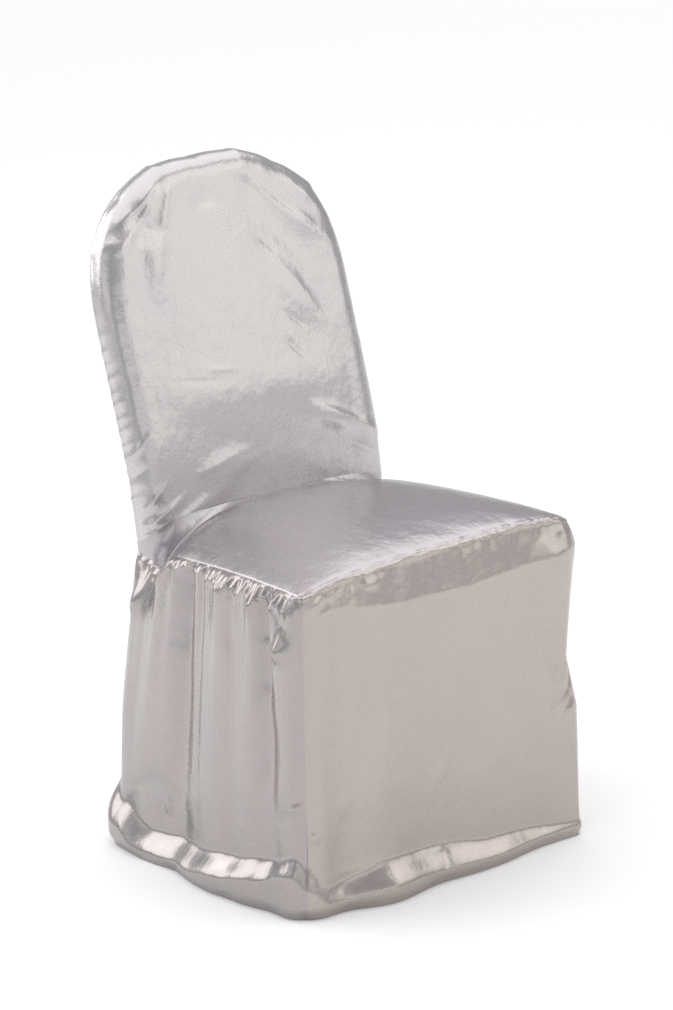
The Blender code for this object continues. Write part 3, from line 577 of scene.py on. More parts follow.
face, face_flat, face_feet = sleeve_face()
strip, strip_flat, rim_x, rim_up = sleeve_turn(face_feet)
inside_back = lay_cloth("sleeve_front", [(face, face_flat, False), (strip, strip_flat, False)])
inside_back.data.materials.append(satin("inside_back_satin", BACK_LIT_SILVER, BACK_LIT_SILVER_DARK, BACK_GLOSS))
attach(inside_back, "root")
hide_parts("inside_back")

# The seat panel is one piece of satin, pulled over the padded seat. Its two narrow ears wrap round beside
# the back, and it is sewn to the sleeve behind and to the three skirt panels round its edge.

FRONT_SEAM_HEIGHT = 0.458
SIDE_SEAM_REAR = 0.429
FRONT_CROWN = 0.014
SEAT_DOME = 0.016
SEAT_SIDE_FALL = 6.0  # how near the sides the seat stays level before it falls with their seams
SEAT_SIDE_POWERS = (2.6, 5.0)  # how near its edges the dome begins to fall: left and right
SEAT_FRONT_POWER = 8.0
SEAT_REAR_POWER = 6.0
EDGE_SOFTNESS = 0.95
NOTCH = (0.202, 0.166, 0.411)  # the pinch where seat, ear and skirt meet beside the back
NOTCH_PULL = 0.030
LAST_ROW = 0.03  # the share of the seat's depth over which its side climbs from there to the sleeve
EAR_FOOT = 0.009  # how far up the back the foot of an ear is
BESIDE_BACK = 0.12  # the share of a side panel that lies beside the back
# For each corner of the skirt: its place in plan at the seat's seam, and on the floor
CORNERS = (
    (-0.226, -0.204, -0.255, -0.200),
    (0.231, -0.206, 0.210, -0.240),
    (0.210, 0.216, 0.245, 0.262),
    (-0.210, 0.216, -0.281, 0.254),
)
CORNER_BOW = (1.0, 1.0, 1.3, 1.5)
CORNER_RADIUS_TOP = 0.018
CORNER_RADIUS_FLOOR = (0.042, 0.014, 0.045, 0.045)
CORNER_TURN = math.pi / 4  # each of two walls turns half of their corner
FRONT, RIGHT, BACK, LEFT = range(4)
WALL_LENGTH = 0.45
# The seat's two tones are a darker, mauve-tinted copy of the same satin. This is painted shade, set by how
# dark its top looks under this light.
SEAT_SHADED_SILVER, SEAT_SHADED_SILVER_DARK, SEAT_GLOSS = (0.47, 0.436, 0.453), (0.44, 0.406, 0.428), 0.21
SEAT_CREASES = (
    (-0.187, 0.150, -0.203, -0.150, -0.003, -0.0009, 0.003, 0.003, 0.0, 0.2, 0.2),
    (-0.150, 0.160, -0.178, 0.120, 0.0, 0.0014, 0.010, 0.014, 0.0, 0.3, 0.6),
    (-0.178, 0.165, -0.190, 0.090, 0.0, -0.0014, 0.006, 0.010, 0.0, 0.2, 0.6),
    (0.150, 0.160, 0.180, 0.110, 0.0, 0.0014, 0.010, 0.014, 0.0, 0.3, 0.6),
)
# Gathers: length, height, how far from the seam they fade, and phase
SEAT_WAVES = ((0.0091, 0.0004, 0.004, 0.4), (0.0161, 0.0005, 0.006, 2.1), (0.037, 0.0004, 0.008, 0.9))


def unit(vectors):
    """The vectors at length 1."""
    return vectors / np.linalg.norm(vectors, axis=-1, keepdims=True)


def corner(name, rise):
    """Where a corner of the skirt stands, in plan, at a share of the height from the floor."""
    top_x, top_y, floor_x, floor_y = CORNERS[name % 4]
    share = rise ** CORNER_BOW[name % 4]
    return np.stack([floor_x + (top_x - floor_x) * share, floor_y + (top_y - floor_y) * share], axis=-1)


def corner_radius(name, rise):
    """How round a corner of the skirt is at a share of the height from the floor."""
    low = CORNER_RADIUS_FLOOR[name % 4]
    return low + (CORNER_RADIUS_TOP - low) * rise


def wall(side, along, rise):
    """The plain wall between two corners in plan, and its way out: straight, with an arc at each end."""
    along, rise = np.broadcast_arrays(along, rise)
    start, end = corner(side, rise), corner(side + 1, rise)
    back, on = unit(corner(side - 1, rise) - start), unit(corner(side + 2, rise) - end)
    length = np.linalg.norm(end - start, axis=-1)
    way = unit(end - start)
    near, far = corner_radius(side, rise), corner_radius(side + 1, rise)
    first, last = along * length, (1 - along) * length
    turn_first = CORNER_TURN * np.clip(1 - first / near, 0, 1)
    turn_last = CORNER_TURN * np.clip(1 - last / far, 0, 1)
    first = np.where(first < near, near * (1 - np.sin(turn_first)), first)
    last = np.where(last < far, far * (1 - np.sin(turn_last)), last)
    points = start + way * np.where(along < 0.5, first, length - last)[..., None]
    points = points + back * (near * (1 - np.cos(turn_first)))[..., None]
    points = points + on * (far * (1 - np.cos(turn_last)))[..., None]
    straight_out = np.stack([way[..., 1], -way[..., 0]], axis=-1)
    turned = (np.sin(turn_last) - np.sin(turn_first))[..., None]
    out = unit(straight_out * (np.cos(turn_first) * np.cos(turn_last))[..., None] + way * turned)
    return points, out


def seam_height(side, along):
    """Height of the seat's seam: arched in front, and falling to the back along the sides."""
    if side == FRONT:
        return FRONT_SEAM_HEIGHT + FRONT_CROWN * (1 - np.abs(2 * along - 1) ** CROWN_POWER)
    rear_share = along if side == RIGHT else 1 - along
    return FRONT_SEAM_HEIGHT - (FRONT_SEAM_HEIGHT - SIDE_SEAM_REAR) * rear_share**2


def side_seam(side, share):
    """The seam at a side of the seat, from its front corner to the pinch beside the back."""
    front_along, rear_along = (0.0, 1 - BESIDE_BACK) if side == RIGHT else (1.0, BESIDE_BACK)
    along = front_along + (rear_along - front_along) * share
    end = np.array([rear_along])
    end_point = np.column_stack([wall(side, end, np.ones(1))[0], seam_height(side, end)])[0]
    seam = np.column_stack([wall(side, along, np.ones_like(along))[0], seam_height(side, along)])
    notch = np.array([NOTCH[0] if side == RIGHT else -NOTCH[0], NOTCH[1], NOTCH[2]])
    pull = bell((end_point[1] - seam[:, 1]) / NOTCH_PULL)[:, None]
    return seam + (notch - end_point) * pull


def front_seam(along):
    """The seam along the front of the seat, from its left corner to its right."""
    plan, _ = wall(FRONT, along, np.ones_like(along))
    return np.column_stack([plan, seam_height(FRONT, along)])


def sleeve_foot(sign, share):
    """The bottom edge of the strip round the sleeve, from its face to its rear seam."""
    turn, reach, depth = edge_turn(share)
    side = BACK_HALF_WIDTH - BACK_EDGE_WIDE
    foot = seat_seam_up(sign * side)
    return on_back(sign * (side + reach), foot + (SEAM_FOOT - foot) * turn / (math.pi / 2), depth)


def ear_foot(sign, share):
    """The seam between an ear and the skirt: straight from the pinch to the rear edge of the back."""
    notch = np.array([sign * NOTCH[0], NOTCH[1], NOTCH[2]])
    rim = on_back(sign * BACK_HALF_WIDTH, EAR_FOOT, BACK_THICKNESS)
    return notch + (rim - notch) * share[:, None]


def columns(step):
    """Shares across a panel, a step apart, and closer together beside its two seams."""
    places = (0.0, 0.004, 0.012, 0.438, 0.446, WALL_LENGTH)
    return spread(WALL_LENGTH, places, (0.0008, 0.0014, step, step, 0.0014, 0.0008))


SEAT_HALF, SEAT_DEEP = 0.22, 0.38  # half its width, and its depth, for distances from its seams
SEAT_STEP = 0.0028
depth_steps = spread(0.40, (0.0, 0.004, 0.012, 0.37, 0.40), (0.0008, 0.0014, SEAT_STEP, SEAT_STEP, 0.0016))
seat_columns = 2 * columns(SEAT_STEP) - 1
last_steps = np.linspace(0, 1, 13)
seat_shares = np.concatenate([depth_steps * (1 - LAST_ROW), 1 - LAST_ROW + LAST_ROW * last_steps[1:]])


def seat_edge(side, sign):
    """One side of the seat: along the skirt's seam to the pinch, and then up to the sleeve's corner."""
    seam = side_seam(side, depth_steps)
    end = sleeve_foot(sign, np.zeros(1))[0]
    return np.vstack([seam, seam[-1] + (end - seam[-1]) * last_steps[1:, None]])


def seat_top():
    """The seat: straight between its four edges, plus a padded dome that is flat until near its edges."""
    along = (seat_columns + 1) / 2
    half_face = BACK_HALF_WIDTH - BACK_EDGE_WIDE
    rear_x = half_face * seat_columns
    rear = on_back(rear_x, seat_seam_up(rear_x), np.zeros_like(rear_x))
    left, right, front = seat_edge(LEFT, -1), seat_edge(RIGHT, 1), front_seam(along)
    u, v = along[None, :, None], seat_shares[:, None, None]
    ruled = (1 - v) * front[None] + v * rear[None] + (1 - u) * left[:, None] + u * right[:, None]
    corners = (1 - u) * ((1 - v) * front[0] + v * rear[0]) + u * ((1 - v) * front[-1] + v * rear[-1])
    seat = ruled - corners
    left_fall, right_fall = left[:, None, 2] - corners[:, :1, 2], right[:, None, 2] - corners[:, -1:, 2]
    level = (1 - v[..., 0]) * front[None, :, 2] + v[..., 0] * rear[None, :, 2]
    near_left, near_right = (1 - u[..., 0]) ** SEAT_SIDE_FALL, u[..., 0] ** SEAT_SIDE_FALL
    seat[..., 2] = level + left_fall * near_left + right_fall * near_right
    from_sides = 1 - np.abs(seat_columns[None, :]) ** np.where(seat_columns[None, :] < 0, *SEAT_SIDE_POWERS)
    from_front = 1 - (1 - seat_shares[:, None]) ** SEAT_FRONT_POWER
    to_rear = 1 - seat_shares[:, None] ** SEAT_REAR_POWER
    seat[..., 2] += SEAT_DOME * (from_sides * from_front) ** EDGE_SOFTNESS * to_rear
    flat = seat[..., :2].copy()
    seat[..., 2] += creases(SEAT_CREASES, flat[..., 0], flat[..., 1])
    from_side = (1 - np.abs(seat_columns[None, :])) * SEAT_HALF
    from_seam = seat_shares[:, None] * SEAT_DEEP
    beside = -sewn(from_side) * SLANT * to_rear
    before = (rolled(from_seam, flat[..., 0]) - sewn(from_seam)) * SLANT
    near_seam = np.minimum(1, np.minimum(from_side, from_seam) / GATHER_START)
    gathered = waves(SEAT_WAVES, flat[..., 0], from_seam) * near_seam
    seat[..., 0] += beside * np.sign(seat_columns[None, :])
    seat[..., 1] -= before
    seat[..., 2] += beside + before + gathered
    return seat, flat


def ear(sign):
    """The ear between the sleeve's bottom edge and the skirt's seam, straight between the two."""
    share = np.linspace(0, 1, 25)
    upper, lower = sleeve_foot(sign, share), ear_foot(sign, share)
    down = 1 - last_steps[:, None, None]
    points = upper + (lower - upper) * down
    flat = np.stack([points[..., 1] * sign, points[..., 2]], axis=-1)
    return points, flat


top, top_flat = seat_top()
left_ear, left_ear_flat = ear(-1)
right_ear, right_ear_flat = ear(1)
seat = lay_cloth("seat_panel", [
    (top, top_flat, False), (left_ear, left_ear_flat, True), (right_ear, right_ear_flat, False)
])
seat.data.materials.append(satin("seat_satin", SEAT_SHADED_SILVER, SEAT_SHADED_SILVER_DARK, SEAT_GLOSS))
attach(seat, "root")
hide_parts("seat")

# The front skirt is a flat panel of satin, sewn to the seat's front edge and to the side panels at its two
# corners. Its hem is turned up once and lies a little long on the floor, so it breaks outwards there.

CORNER_PUFF = 0.006  # how far the cloth springs out just below the seam at a corner
PUFF_DROP = 0.010
PUFF_FADE = 0.16
CORNER_BLEND = 0.035
PAD_PLACES = (0.0, 0.06, 0.157, 0.27, 0.42)  # along the front, where the edge of the padding shows
PAD_DROPS = (0.030, 0.038, 0.058, 0.060, 0.052)  # how far down the cloth slopes outwards over it
PAD_SLOPE = 0.20
RUFFLE_PLACES = (0.0, 0.10, 0.15, 0.25, 0.35, 0.45)  # from the rear corner of a side panel
RUFFLE_DROPS = (0.007, 0.007, 0.009, 0.015, 0.020, 0.024)  # how far down its gathered edge slopes outwards
RUFFLE_OUTS = (0.006, 0.007, 0.009, 0.012, 0.013, 0.013)
RUFFLE_TEETH = (0.30, 150, 0.5)  # share, radians per metre and phase
RUFFLE_SMALL_TEETH = (0.20, 290, 400)  # share, radians per metre, and how fast they crowd to the front
FOLD_CLEAR = 0.03  # the broad folds fade this near a corner
SEAM_FADE = 0.045  # how far down a wall still follows its seam's own line
# The front skirt's two tones are a darker, warmer copy of the same satin: painted shade.
FRONT_SHADED_SILVER, FRONT_SHADED_SILVER_DARK, FRONT_GLOSS = (0.465, 0.418, 0.388), (0.425, 0.380, 0.358), 0.21
# The broad folds of each wall: place as a share of its length, height and half width, at top and floor
WALL_FOLD_COLUMNS = ("top_at", "floor_at", "top_high", "floor_high", "top_wide", "floor_wide")
WALL_FOLDS = (
    (
        (0.13, 0.15, -0.005, -0.005, 0.022, 0.030),
        (0.24, 0.30, 0.004, 0.008, 0.030, 0.050),
        (0.40, 0.47, -0.002, -0.006, 0.035, 0.055),
        (0.62, 0.60, 0.002, 0.004, 0.050, 0.060),
        (0.85, 0.82, -0.002, -0.005, 0.030, 0.045),
    ),
    (
        (0.14, 0.13, -0.008, -0.010, 0.014, 0.024),
        (0.26, 0.27, 0.008, 0.014, 0.026, 0.045),
        (0.42, 0.44, -0.011, -0.012, 0.018, 0.028),
        (0.58, 0.60, 0.009, 0.012, 0.030, 0.050),
        (0.75, 0.74, -0.009, -0.012, 0.018, 0.030),
        (0.88, 0.88, 0.005, 0.012, 0.026, 0.045),
    ),
    (
        (0.20, 0.17, 0.000, -0.012, 0.030, 0.040),
        (0.36, 0.35, 0.000, 0.012, 0.040, 0.055),
        (0.52, 0.54, 0.000, -0.010, 0.040, 0.050),
        (0.70, 0.72, 0.000, 0.013, 0.040, 0.055),
        (0.86, 0.88, 0.000, -0.010, 0.030, 0.040),
    ),
    (
        (0.19, 0.18, 0.008, 0.004, 0.045, 0.055),
        (0.365, 0.385, -0.012, -0.005, 0.018, 0.026),
        (0.465, 0.47, -0.006, 0.000, 0.010, 0.016),
        (0.58, 0.60, 0.008, 0.010, 0.040, 0.060),
        (0.67, 0.67, -0.004, -0.003, 0.014, 0.020),
        (0.75, 0.74, 0.005, 0.004, 0.020, 0.045),
        (0.81, 0.84, -0.010, -0.003, 0.014, 0.024),
        (0.90, 0.92, 0.007, 0.003, 0.018, 0.030),
    ),
)
# The hem spreads on the floor. For each wall: places along it, the height where the cloth breaks
# outwards, the height where it falls again, and how far out that is
HEM_LINES = (
    (
        (0.00, 0.08, 0.30, 0.50, 0.66, 1.00),
        (0.078, 0.044, 0.060, 0.051, 0.041, 0.024),
        (0.040, 0.014, 0.024, 0.019, 0.014, 0.008),
        (0.010, 0.010, 0.022, 0.019, 0.016, 0.006),
    ),
    (
        (0.00, 0.50, 1.00),
        (0.024, 0.060, 0.095),
        (0.008, 0.026, 0.050),
        (0.006, 0.018, 0.018),
    ),
    (
        (0.00, 0.50, 1.00),
        (0.095, 0.070, 0.095),
        (0.050, 0.036, 0.050),
        (0.018, 0.012, 0.018),
    ),
    (
        (0.00, 0.10, 0.26, 0.47, 0.64, 0.79, 0.95, 1.00),
        (0.095, 0.068, 0.040, 0.047, 0.057, 0.068, 0.088, 0.078),
        (0.050, 0.034, 0.006, 0.018, 0.030, 0.042, 0.062, 0.040),
        (0.018, 0.024, 0.028, 0.027, 0.024, 0.020, 0.012, 0.010),
    ),
)
HEM_CRISP = 0.35  # 1 would break the cloth at sharp lines
HEM_DRAWN_IN = 0.004  # how far the wall stands back just above that
HEM_DRAWN_OVER = 0.12
HEM_TUCK = 0.008  # how far the edge of the hem turns back under
HEM_TUCK_HEIGHT = 0.020
# How far the skirt's right front corner stands out, at heights from the floor
CORNER_WANDER = (
    (0.0, 0.0),
    (0.12, -0.001),
    (0.19, 0.001),
    (0.26, -0.010),
    (0.34, -0.001),
    (0.42, 0.009),
    (0.46, 0.0),
)
WANDER_WIDTH = 0.05
CREASE_CLEAR = 0.008  # the fine creases stop this near a corner's seam
CORNER_SEAM_FADE = 0.03  # a corner's seam shows only near its top
FRONT_CREASES = (
    (0.130, 0.395, 0.118, 0.110, 0.0, 0.0030, 0.009, 0.016, 0.3, 0.3, 0.4),
    (0.082, 0.420, 0.086, 0.180, 0.006, -0.0026, 0.012, 0.020, 0.0, 0.3, 0.5),
    (0.250, 0.215, 0.190, 0.105, 0.0, 0.0014, 0.003, 0.005, 0.2, 0.4, 0.5),
    (0.372, 0.400, 0.376, 0.320, 0.0, -0.0008, 0.003, 0.004, 0.0, 0.2, 0.5),
    (0.415, 0.200, 0.446, 0.245, 0.003, -0.0020, 0.004, 0.004, 0.0, 0.4, 0.2),
    (0.400, 0.175, 0.446, 0.215, 0.003, -0.0016, 0.004, 0.005, 0.0, 0.5, 0.2),
    (0.395, 0.445, 0.420, 0.400, 0.0, 0.0016, 0.004, 0.006, 0.0, 0.2, 0.6),
    (0.425, 0.450, 0.432, 0.380, 0.0, -0.0016, 0.004, 0.008, 0.0, 0.2, 0.6),
    (0.020, 0.060, 0.150, 0.058, 0.004, 0.0014, 0.006, 0.008, 0.0, 0.4, 0.4),
    (0.160, 0.052, 0.240, 0.046, 0.003, 0.0012, 0.004, 0.005, 0.0, 0.4, 0.4),
    (0.220, 0.050, 0.212, 0.015, 0.0, -0.0016, 0.003, 0.004, 0.0, 0.3, 0.3),
)
FRONT_LUMPS = (
    (0.012, 0.118, 20, 0.013, 0.007, 0.0030),
    (0.065, 0.152, 60, 0.020, 0.010, 0.0016),
    (0.076, 0.443, 80, 0.012, 0.006, 0.0024),
    (0.050, 0.452, 20, 0.011, 0.005, 0.0026),
    (0.022, 0.446, 35, 0.012, 0.006, 0.0030),
    (0.105, 0.452, 0, 0.013, 0.006, 0.0016),
)
FRONT_WAVES = ((0.0085, 0.0006, 0.006, 0.3), (0.017, 0.0009, 0.012, 1.9), (0.047, 0.0012, 0.025, 0.5))


def eased(at, places, values):
    """A value at a place on a line: it passes through the given ones, level at each, on smooth steps."""
    step = np.clip(np.searchsorted(places, at, side="right") - 1, 0, len(places) - 2)
    places, values = np.asarray(places), np.asarray(values)
    share = (at - places[step]) / (places[step + 1] - places[step])
    return values[step] + (values[step + 1] - values[step]) * smooth(share)


def wall_folds(side, along, rise):
    """How far the folds of a wall stand out: bells that move, widen and grow from the seam to the floor."""
    shift = np.zeros(np.broadcast(along, rise).shape)
    for row in WALL_FOLDS[side]:
        fold = dict(zip(WALL_FOLD_COLUMNS, row))
        at = fold["floor_at"] + (fold["top_at"] - fold["floor_at"]) * rise
        high = fold["floor_high"] + (fold["top_high"] - fold["floor_high"]) * rise
        wide = fold["floor_wide"] + (fold["top_wide"] - fold["floor_wide"]) * rise
        shift = shift + high * bell((along - at) * WALL_LENGTH / wide)
    from_start, from_end = along * WALL_LENGTH, (1 - along) * WALL_LENGTH
    return shift * smooth(from_start / FOLD_CLEAR) * smooth(from_end / FOLD_CLEAR)


def top_puff(side, along, drop):
    """How far a wall springs out below its top seam: over the padding in front, in a ruffle at the sides."""
    at_corner = CORNER_PUFF * (1 - np.exp(-drop / PUFF_DROP)) * np.exp(-drop / PUFF_FADE)
    across = along * WALL_LENGTH
    if side == BACK:
        return at_corner * (1 - smooth(np.minimum(across, WALL_LENGTH - across) / CORNER_BLEND))
    if side == FRONT:
        slope = np.interp(across, PAD_PLACES, PAD_DROPS)
        puff = PAD_SLOPE * np.minimum(drop, slope) * np.exp(-np.maximum(drop - slope, 0) / PUFF_FADE)
    else:
        from_rear = across if side == LEFT else WALL_LENGTH - across
        share, turns, phase = RUFFLE_TEETH
        small_share, small_turns, crowd = RUFFLE_SMALL_TEETH
        teeth = 1 + share * np.sin(from_rear * turns + phase)
        teeth = teeth + small_share * np.sin(from_rear * small_turns + from_rear**2 * crowd)
        slope = np.interp(from_rear, RUFFLE_PLACES, RUFFLE_DROPS) * teeth
        puff = np.interp(from_rear, RUFFLE_PLACES, RUFFLE_OUTS) * np.clip(drop / slope, 0, 1)
        puff = puff * np.exp(-np.maximum(drop - slope, 0) / PUFF_FADE)
    near_corner = 1 - smooth(np.minimum(across, WALL_LENGTH - across) / CORNER_BLEND)
    return at_corner * near_corner + puff * (1 - near_corner)


def wall_relief(side, along, rise, height):
    """How far the cloth stands out from the plain wall: folds, the puff below the seam, and the hem."""
    drop, low = (1 - rise) * height, rise * height
    shift = wall_folds(side, along, rise)
    if side in (FRONT, RIGHT):
        from_corner = (1 - along if side == FRONT else along) * WALL_LENGTH
        heights, shifts = np.transpose(CORNER_WANDER)
        shift = shift + np.interp(low, heights, shifts) * bell(from_corner / WANDER_WIDTH)
    shift = shift * (1 - np.exp(-drop / PUFF_DROP)) + top_puff(side, along, drop)
    places, breaks, falls, reaches = HEM_LINES[side]
    breaks, falls, reaches = (eased(along, places, values) for values in (breaks, falls, reaches))
    shift = shift - HEM_DRAWN_IN * smooth(1 - (low - breaks) / HEM_DRAWN_OVER)
    out = np.clip((breaks - low) / (breaks - falls), 0, 1)
    shift = shift + reaches * (HEM_CRISP * out + (1 - HEM_CRISP) * smooth(out))
    return shift - HEM_TUCK * smooth(1 - low / HEM_TUCK_HEIGHT)


def skirt_top(side, along):
    """The top edge of a skirt panel: the seat's seam, and beside the back the foot of an ear."""
    if side == FRONT:
        return front_seam(along)
    if side == BACK:
        x = BACK_HALF_WIDTH * (1 - 2 * along)
        return on_back(x, np.full_like(x, EAR_FOOT), np.full_like(x, BACK_THICKNESS))
    sign = 1 if side == RIGHT else -1
    from_rear = 1 - along if side == RIGHT else along
    seam = side_seam(side, np.clip((1 - from_rear) / (1 - BESIDE_BACK), 0, 1))
    foot = ear_foot(sign, np.clip(1 - from_rear / BESIDE_BACK, 0, 1))
    return np.where((from_rear < BESIDE_BACK)[:, None], foot, seam)


def hang(side, along, rises, crease_rows=(), lump_rows=(), wave_rows=()):
    """A wall of the skirt: its top edge carried down to the floor, plus its relief along the way out."""
    top_edge = skirt_top(side, along)
    rise = rises[:, None]
    height = top_edge[None, :, 2]
    points, out = wall(side, along[None, :], rise)
    plain_top, _ = wall(side, along, np.ones_like(along))
    drop = (1 - rise) * height
    fade = np.exp(-drop / SEAM_FADE)
    low = np.exp(-height / SEAM_FADE)
    fade = (fade - low) / (1 - low)
    points = points + (top_edge[None, :, :2] - plain_top) * fade[..., None]
    across = np.broadcast_to(along * WALL_LENGTH, drop.shape)
    up = rise * height
    from_corner = np.minimum(across, WALL_LENGTH - across)
    fine = creases(crease_rows, across, up) + lumps(lump_rows, across, up) + waves(wave_rows, across, drop)
    fine = fine * smooth(from_corner / CREASE_CLEAR) * (1 - np.exp(-drop / GATHER_START))
    relief = wall_relief(side, along[None, :], rise, height) + fine
    relief = relief + (rolled(from_corner) - sewn(from_corner)) * np.exp(-drop / CORNER_SEAM_FADE)
    if side != BACK:
        relief = relief + (rolled(drop, across) - sewn(drop)) * SLANT
        up = up + (rolled(drop, across) - sewn(drop)) * SLANT
    points = points + out * relief[..., None]
    flat = np.stack([across, rise * height], axis=-1)
    return np.concatenate([points, np.broadcast_to(up, relief.shape)[..., None]], axis=-1), flat


# Rows of points down a panel: drops from its seam, and the distance from row to row there
SKIRT_DROP = 0.46
FRONT_DROPS = (0.0, 0.004, 0.012, 0.05, 0.10, 0.36, 0.40, SKIRT_DROP)
FRONT_STEPS = (0.0008, 0.0014, 0.0024, 0.003, 0.004, 0.004, 0.0025, 0.0022)
front_rises = 1 - spread(SKIRT_DROP, FRONT_DROPS, FRONT_STEPS)
rows, rows_flat = hang(FRONT, columns(0.0028), front_rises, FRONT_CREASES, FRONT_LUMPS, FRONT_WAVES)
front_skirt = lay_cloth("skirt_front", [(rows, rows_flat, True)])
front_skirt.data.materials.append(satin("front_skirt_satin", FRONT_SHADED_SILVER, FRONT_SHADED_SILVER_DARK, FRONT_GLOSS))
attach(front_skirt, "root")
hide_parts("front_skirt")

# The left skirt is the gathered side panel that faces the camera: its top edge is drawn up along the
# seat's seam, so it falls in uneven folds, and its hem spreads on the floor.

# The side skirts' two tones are the darkest copy of the same satin: painted shade.
SIDE_SHADED_SILVER, SIDE_SHADED_SILVER_DARK, SIDE_GLOSS = (0.42, 0.383, 0.375), (0.38, 0.345, 0.345), 0.21
LEFT_CREASES = (
    (0.157, 0.436, 0.167, 0.290, 0.002, -0.0050, 0.006, 0.014, 0.3, 0.1, 0.5),
    (0.165, 0.370, 0.170, 0.085, -0.006, -0.0060, 0.014, 0.022, 0.3, 0.4, 0.3),
    (0.170, 0.120, 0.112, 0.036, 0.0, -0.0045, 0.014, 0.014, 0.2, 0.3, 0.4),
    (0.231, 0.432, 0.222, 0.330, 0.0, -0.0030, 0.004, 0.010, 0.0, 0.1, 0.6),
    (0.360, 0.442, 0.364, 0.370, 0.0, -0.0055, 0.004, 0.008, 0.3, 0.1, 0.3),
    (0.362, 0.400, 0.385, 0.285, 0.003, -0.0055, 0.009, 0.016, 0.2, 0.3, 0.4),
    (0.385, 0.330, 0.365, 0.130, -0.003, -0.0055, 0.014, 0.020, 0.0, 0.4, 0.5),
    (0.283, 0.422, 0.287, 0.340, 0.0, -0.0020, 0.004, 0.008, 0.0, 0.2, 0.6),
    (0.200, 0.426, 0.196, 0.310, 0.0, -0.0022, 0.004, 0.010, 0.0, 0.2, 0.7),
    (0.008, 0.430, 0.064, 0.386, 0.0, -0.0036, 0.004, 0.008, 0.3, 0.2, 0.3),
    (0.114, 0.438, 0.058, 0.380, -0.004, 0.0034, 0.004, 0.006, 0.0, 0.1, 0.4),
    (0.062, 0.398, 0.036, 0.338, 0.0, -0.0034, 0.005, 0.010, 0.0, 0.3, 0.6),
    (0.060, 0.340, 0.052, 0.110, 0.003, -0.0040, 0.012, 0.018, 0.0, 0.5, 0.4),
    (0.045, 0.078, 0.155, 0.120, -0.010, -0.0040, 0.008, 0.010, 0.3, 0.3, 0.4),
    (0.385, 0.128, 0.428, 0.150, 0.0, -0.0024, 0.008, 0.008, 0.0, 0.4, 0.3),
    (0.395, 0.445, 0.428, 0.405, 0.0, -0.0030, 0.004, 0.007, 0.2, 0.2, 0.3),
)
LEFT_LUMPS = (
    (0.026, 0.362, 80, 0.026, 0.014, 0.0120),
    (0.417, 0.380, 80, 0.017, 0.014, 0.0130),
    (0.141, 0.083, 80, 0.014, 0.007, 0.0040),
    (0.434, 0.160, 15, 0.013, 0.006, 0.0030),
    (0.062, 0.054, -25, 0.040, 0.018, 0.0060),
    (0.340, 0.425, 80, 0.014, 0.009, 0.0040),
    (0.265, 0.428, 85, 0.012, 0.007, 0.0030),
)
SIDE_WAVES = ((0.0100, 0.0003, 0.006, 0.3), (0.0210, 0.0010, 0.020, 1.7), (0.043, 0.0024, 0.080, 0.8))

SIDE_DROPS = (0.0, 0.004, 0.03, 0.06, 0.10, 0.36, 0.40, SKIRT_DROP)
SIDE_STEPS = (0.0008, 0.0014, 0.0016, 0.0025, 0.004, 0.004, 0.0025, 0.0022)
side_rises = 1 - spread(SKIRT_DROP, SIDE_DROPS, SIDE_STEPS)
rows, rows_flat = hang(LEFT, columns(0.0019), side_rises, LEFT_CREASES, LEFT_LUMPS, SIDE_WAVES)
left_skirt = lay_cloth("skirt_left", [(rows, rows_flat, True)])
left_skirt.data.materials.append(satin("left_skirt_satin", SIDE_SHADED_SILVER, SIDE_SHADED_SILVER_DARK, SIDE_GLOSS))
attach(left_skirt, "root")
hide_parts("left_skirt")

# The right skirt is the same panel of satin on the other side. It is drawn up along the seat's seam as well
# and hangs in folds of its own.

RIGHT_CREASES = (
    (0.070, 0.430, 0.066, 0.250, 0.003, -0.0030, 0.003, 0.007, 0.0, 0.1, 0.6),
    (0.130, 0.432, 0.124, 0.300, 0.0, -0.0024, 0.003, 0.006, 0.2, 0.1, 0.6),
    (0.196, 0.428, 0.205, 0.200, 0.004, -0.0034, 0.004, 0.008, -0.2, 0.1, 0.5),
    (0.262, 0.425, 0.258, 0.320, 0.0, -0.0020, 0.003, 0.005, 0.0, 0.1, 0.6),
    (0.330, 0.424, 0.338, 0.220, 0.003, -0.0030, 0.004, 0.008, 0.2, 0.1, 0.5),
    (0.395, 0.420, 0.405, 0.330, 0.0, -0.0024, 0.003, 0.006, 0.0, 0.1, 0.6),
)
RIGHT_LUMPS = (
    (0.420, 0.376, 105, 0.032, 0.016, 0.0080),
    (0.026, 0.402, 170, 0.015, 0.010, 0.0050),
    (0.240, 0.080, 60, 0.025, 0.010, 0.0030),
)

rows, rows_flat = hang(RIGHT, columns(0.0024), side_rises, RIGHT_CREASES, RIGHT_LUMPS, SIDE_WAVES)
right_skirt = lay_cloth("skirt_right", [(rows, rows_flat, True)])
right_skirt.data.materials.append(satin("right_skirt_satin", SIDE_SHADED_SILVER, SIDE_SHADED_SILVER_DARK, SIDE_GLOSS))
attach(right_skirt, "root")
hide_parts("right_skirt")

# The rear panel is one length of satin from the top of the back to the floor. It is sewn round the sleeve,
# hangs off the back below it, and opens into soft folds towards its hem.

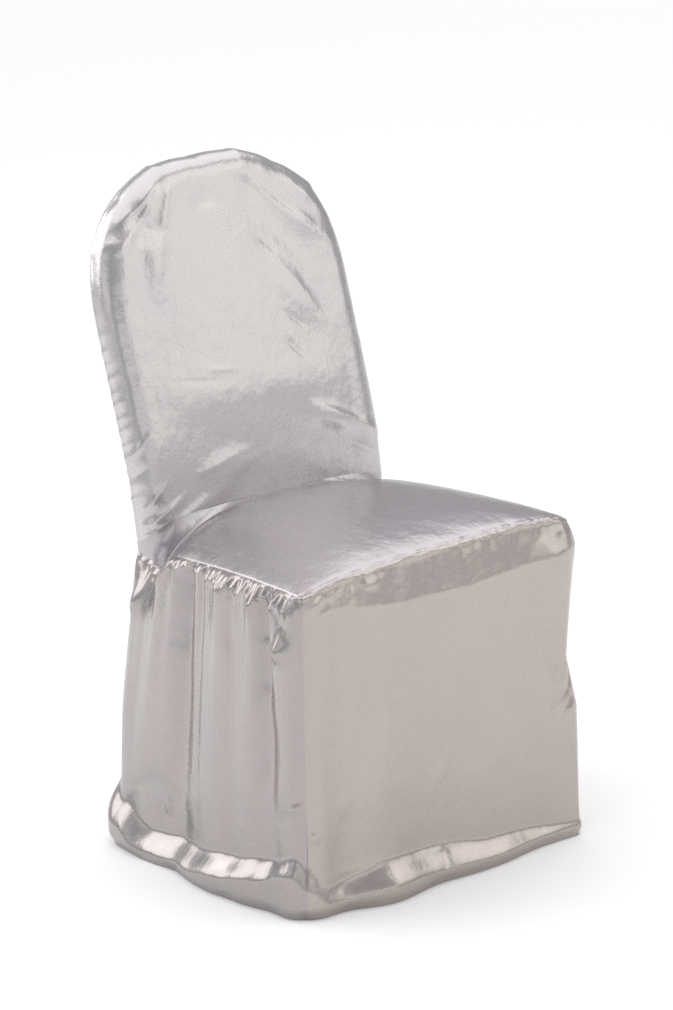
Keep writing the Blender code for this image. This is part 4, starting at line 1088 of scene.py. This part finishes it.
BACK_SAG = 0.006  # how far the panel hangs out between the sleeve's seams
REAR_CREASES = (
    (0.090, 0.400, 0.080, 0.060, 0.004, -0.0020, 0.008, 0.014, 0.0, 0.5, 0.3),
    (0.300, 0.380, 0.318, 0.050, -0.004, -0.0020, 0.008, 0.014, 0.0, 0.5, 0.3),
    (0.220, 0.300, 0.214, 0.080, 0.0, 0.0016, 0.006, 0.010, 0.0, 0.5, 0.4),
)

left_rim_x, right_rim_x, top_rim_x = side_and_top(rim_x)
left_rim_up, right_rim_up, top_rim_up = side_and_top(rim_up)


def rear_sleeve():
    """The rear of the sleeve: rows from the left seam to the right, bent up towards the arch at the top."""
    below = np.linspace(0, 1, 6)[:-1]
    foot_up = EAR_FOOT + (left_rim_up[0] - EAR_FOOT) * below
    foot_up_right = EAR_FOOT + (right_rim_up[0] - EAR_FOOT) * below
    left_x = np.concatenate([-BACK_HALF_WIDTH + (left_rim_x[0] + BACK_HALF_WIDTH) * below, left_rim_x])
    right_x = np.concatenate([BACK_HALF_WIDTH + (right_rim_x[0] - BACK_HALF_WIDTH) * below, right_rim_x])
    left_up = np.concatenate([foot_up, left_rim_up])
    right_up = np.concatenate([foot_up_right, right_rim_up])
    across = (across_shares + 1) / 2
    x = left_x[:, None] + (right_x - left_x)[:, None] * across
    up = left_up[:, None] + (right_up - left_up)[:, None] * across
    share = (up[:, :1] - EAR_FOOT) / (up[-1, 0] - EAR_FOOT)
    x = x + (top_rim_x - x[-1]) * share**CROWN_POWER
    up = up + (top_rim_up - up[-1]) * share
    sag = BACK_SAG * np.sin(math.pi * share) * (1 - across_shares**2)
    return on_back(x, up, BACK_THICKNESS + sag), np.stack([-x, up], axis=-1)


behind, behind_flat = rear_sleeve()
REAR_DROP = 0.43
rear_rises = 1 - spread(REAR_DROP, (0.0, 0.33, 0.37, REAR_DROP), (0.004, 0.004, 0.0025, 0.0022))
rows, rows_flat = hang(BACK, (1 - across_shares[::-1]) / 2, rear_rises, REAR_CREASES)
outside_back = lay_cloth("rear_panel", [(behind, behind_flat, True), (rows, rows_flat, True)])
outside_back.data.materials.append(satin("outside_back_satin", BACK_LIT_SILVER, BACK_LIT_SILVER_DARK, BACK_GLOSS))
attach(outside_back, "root")
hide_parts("outside_back")
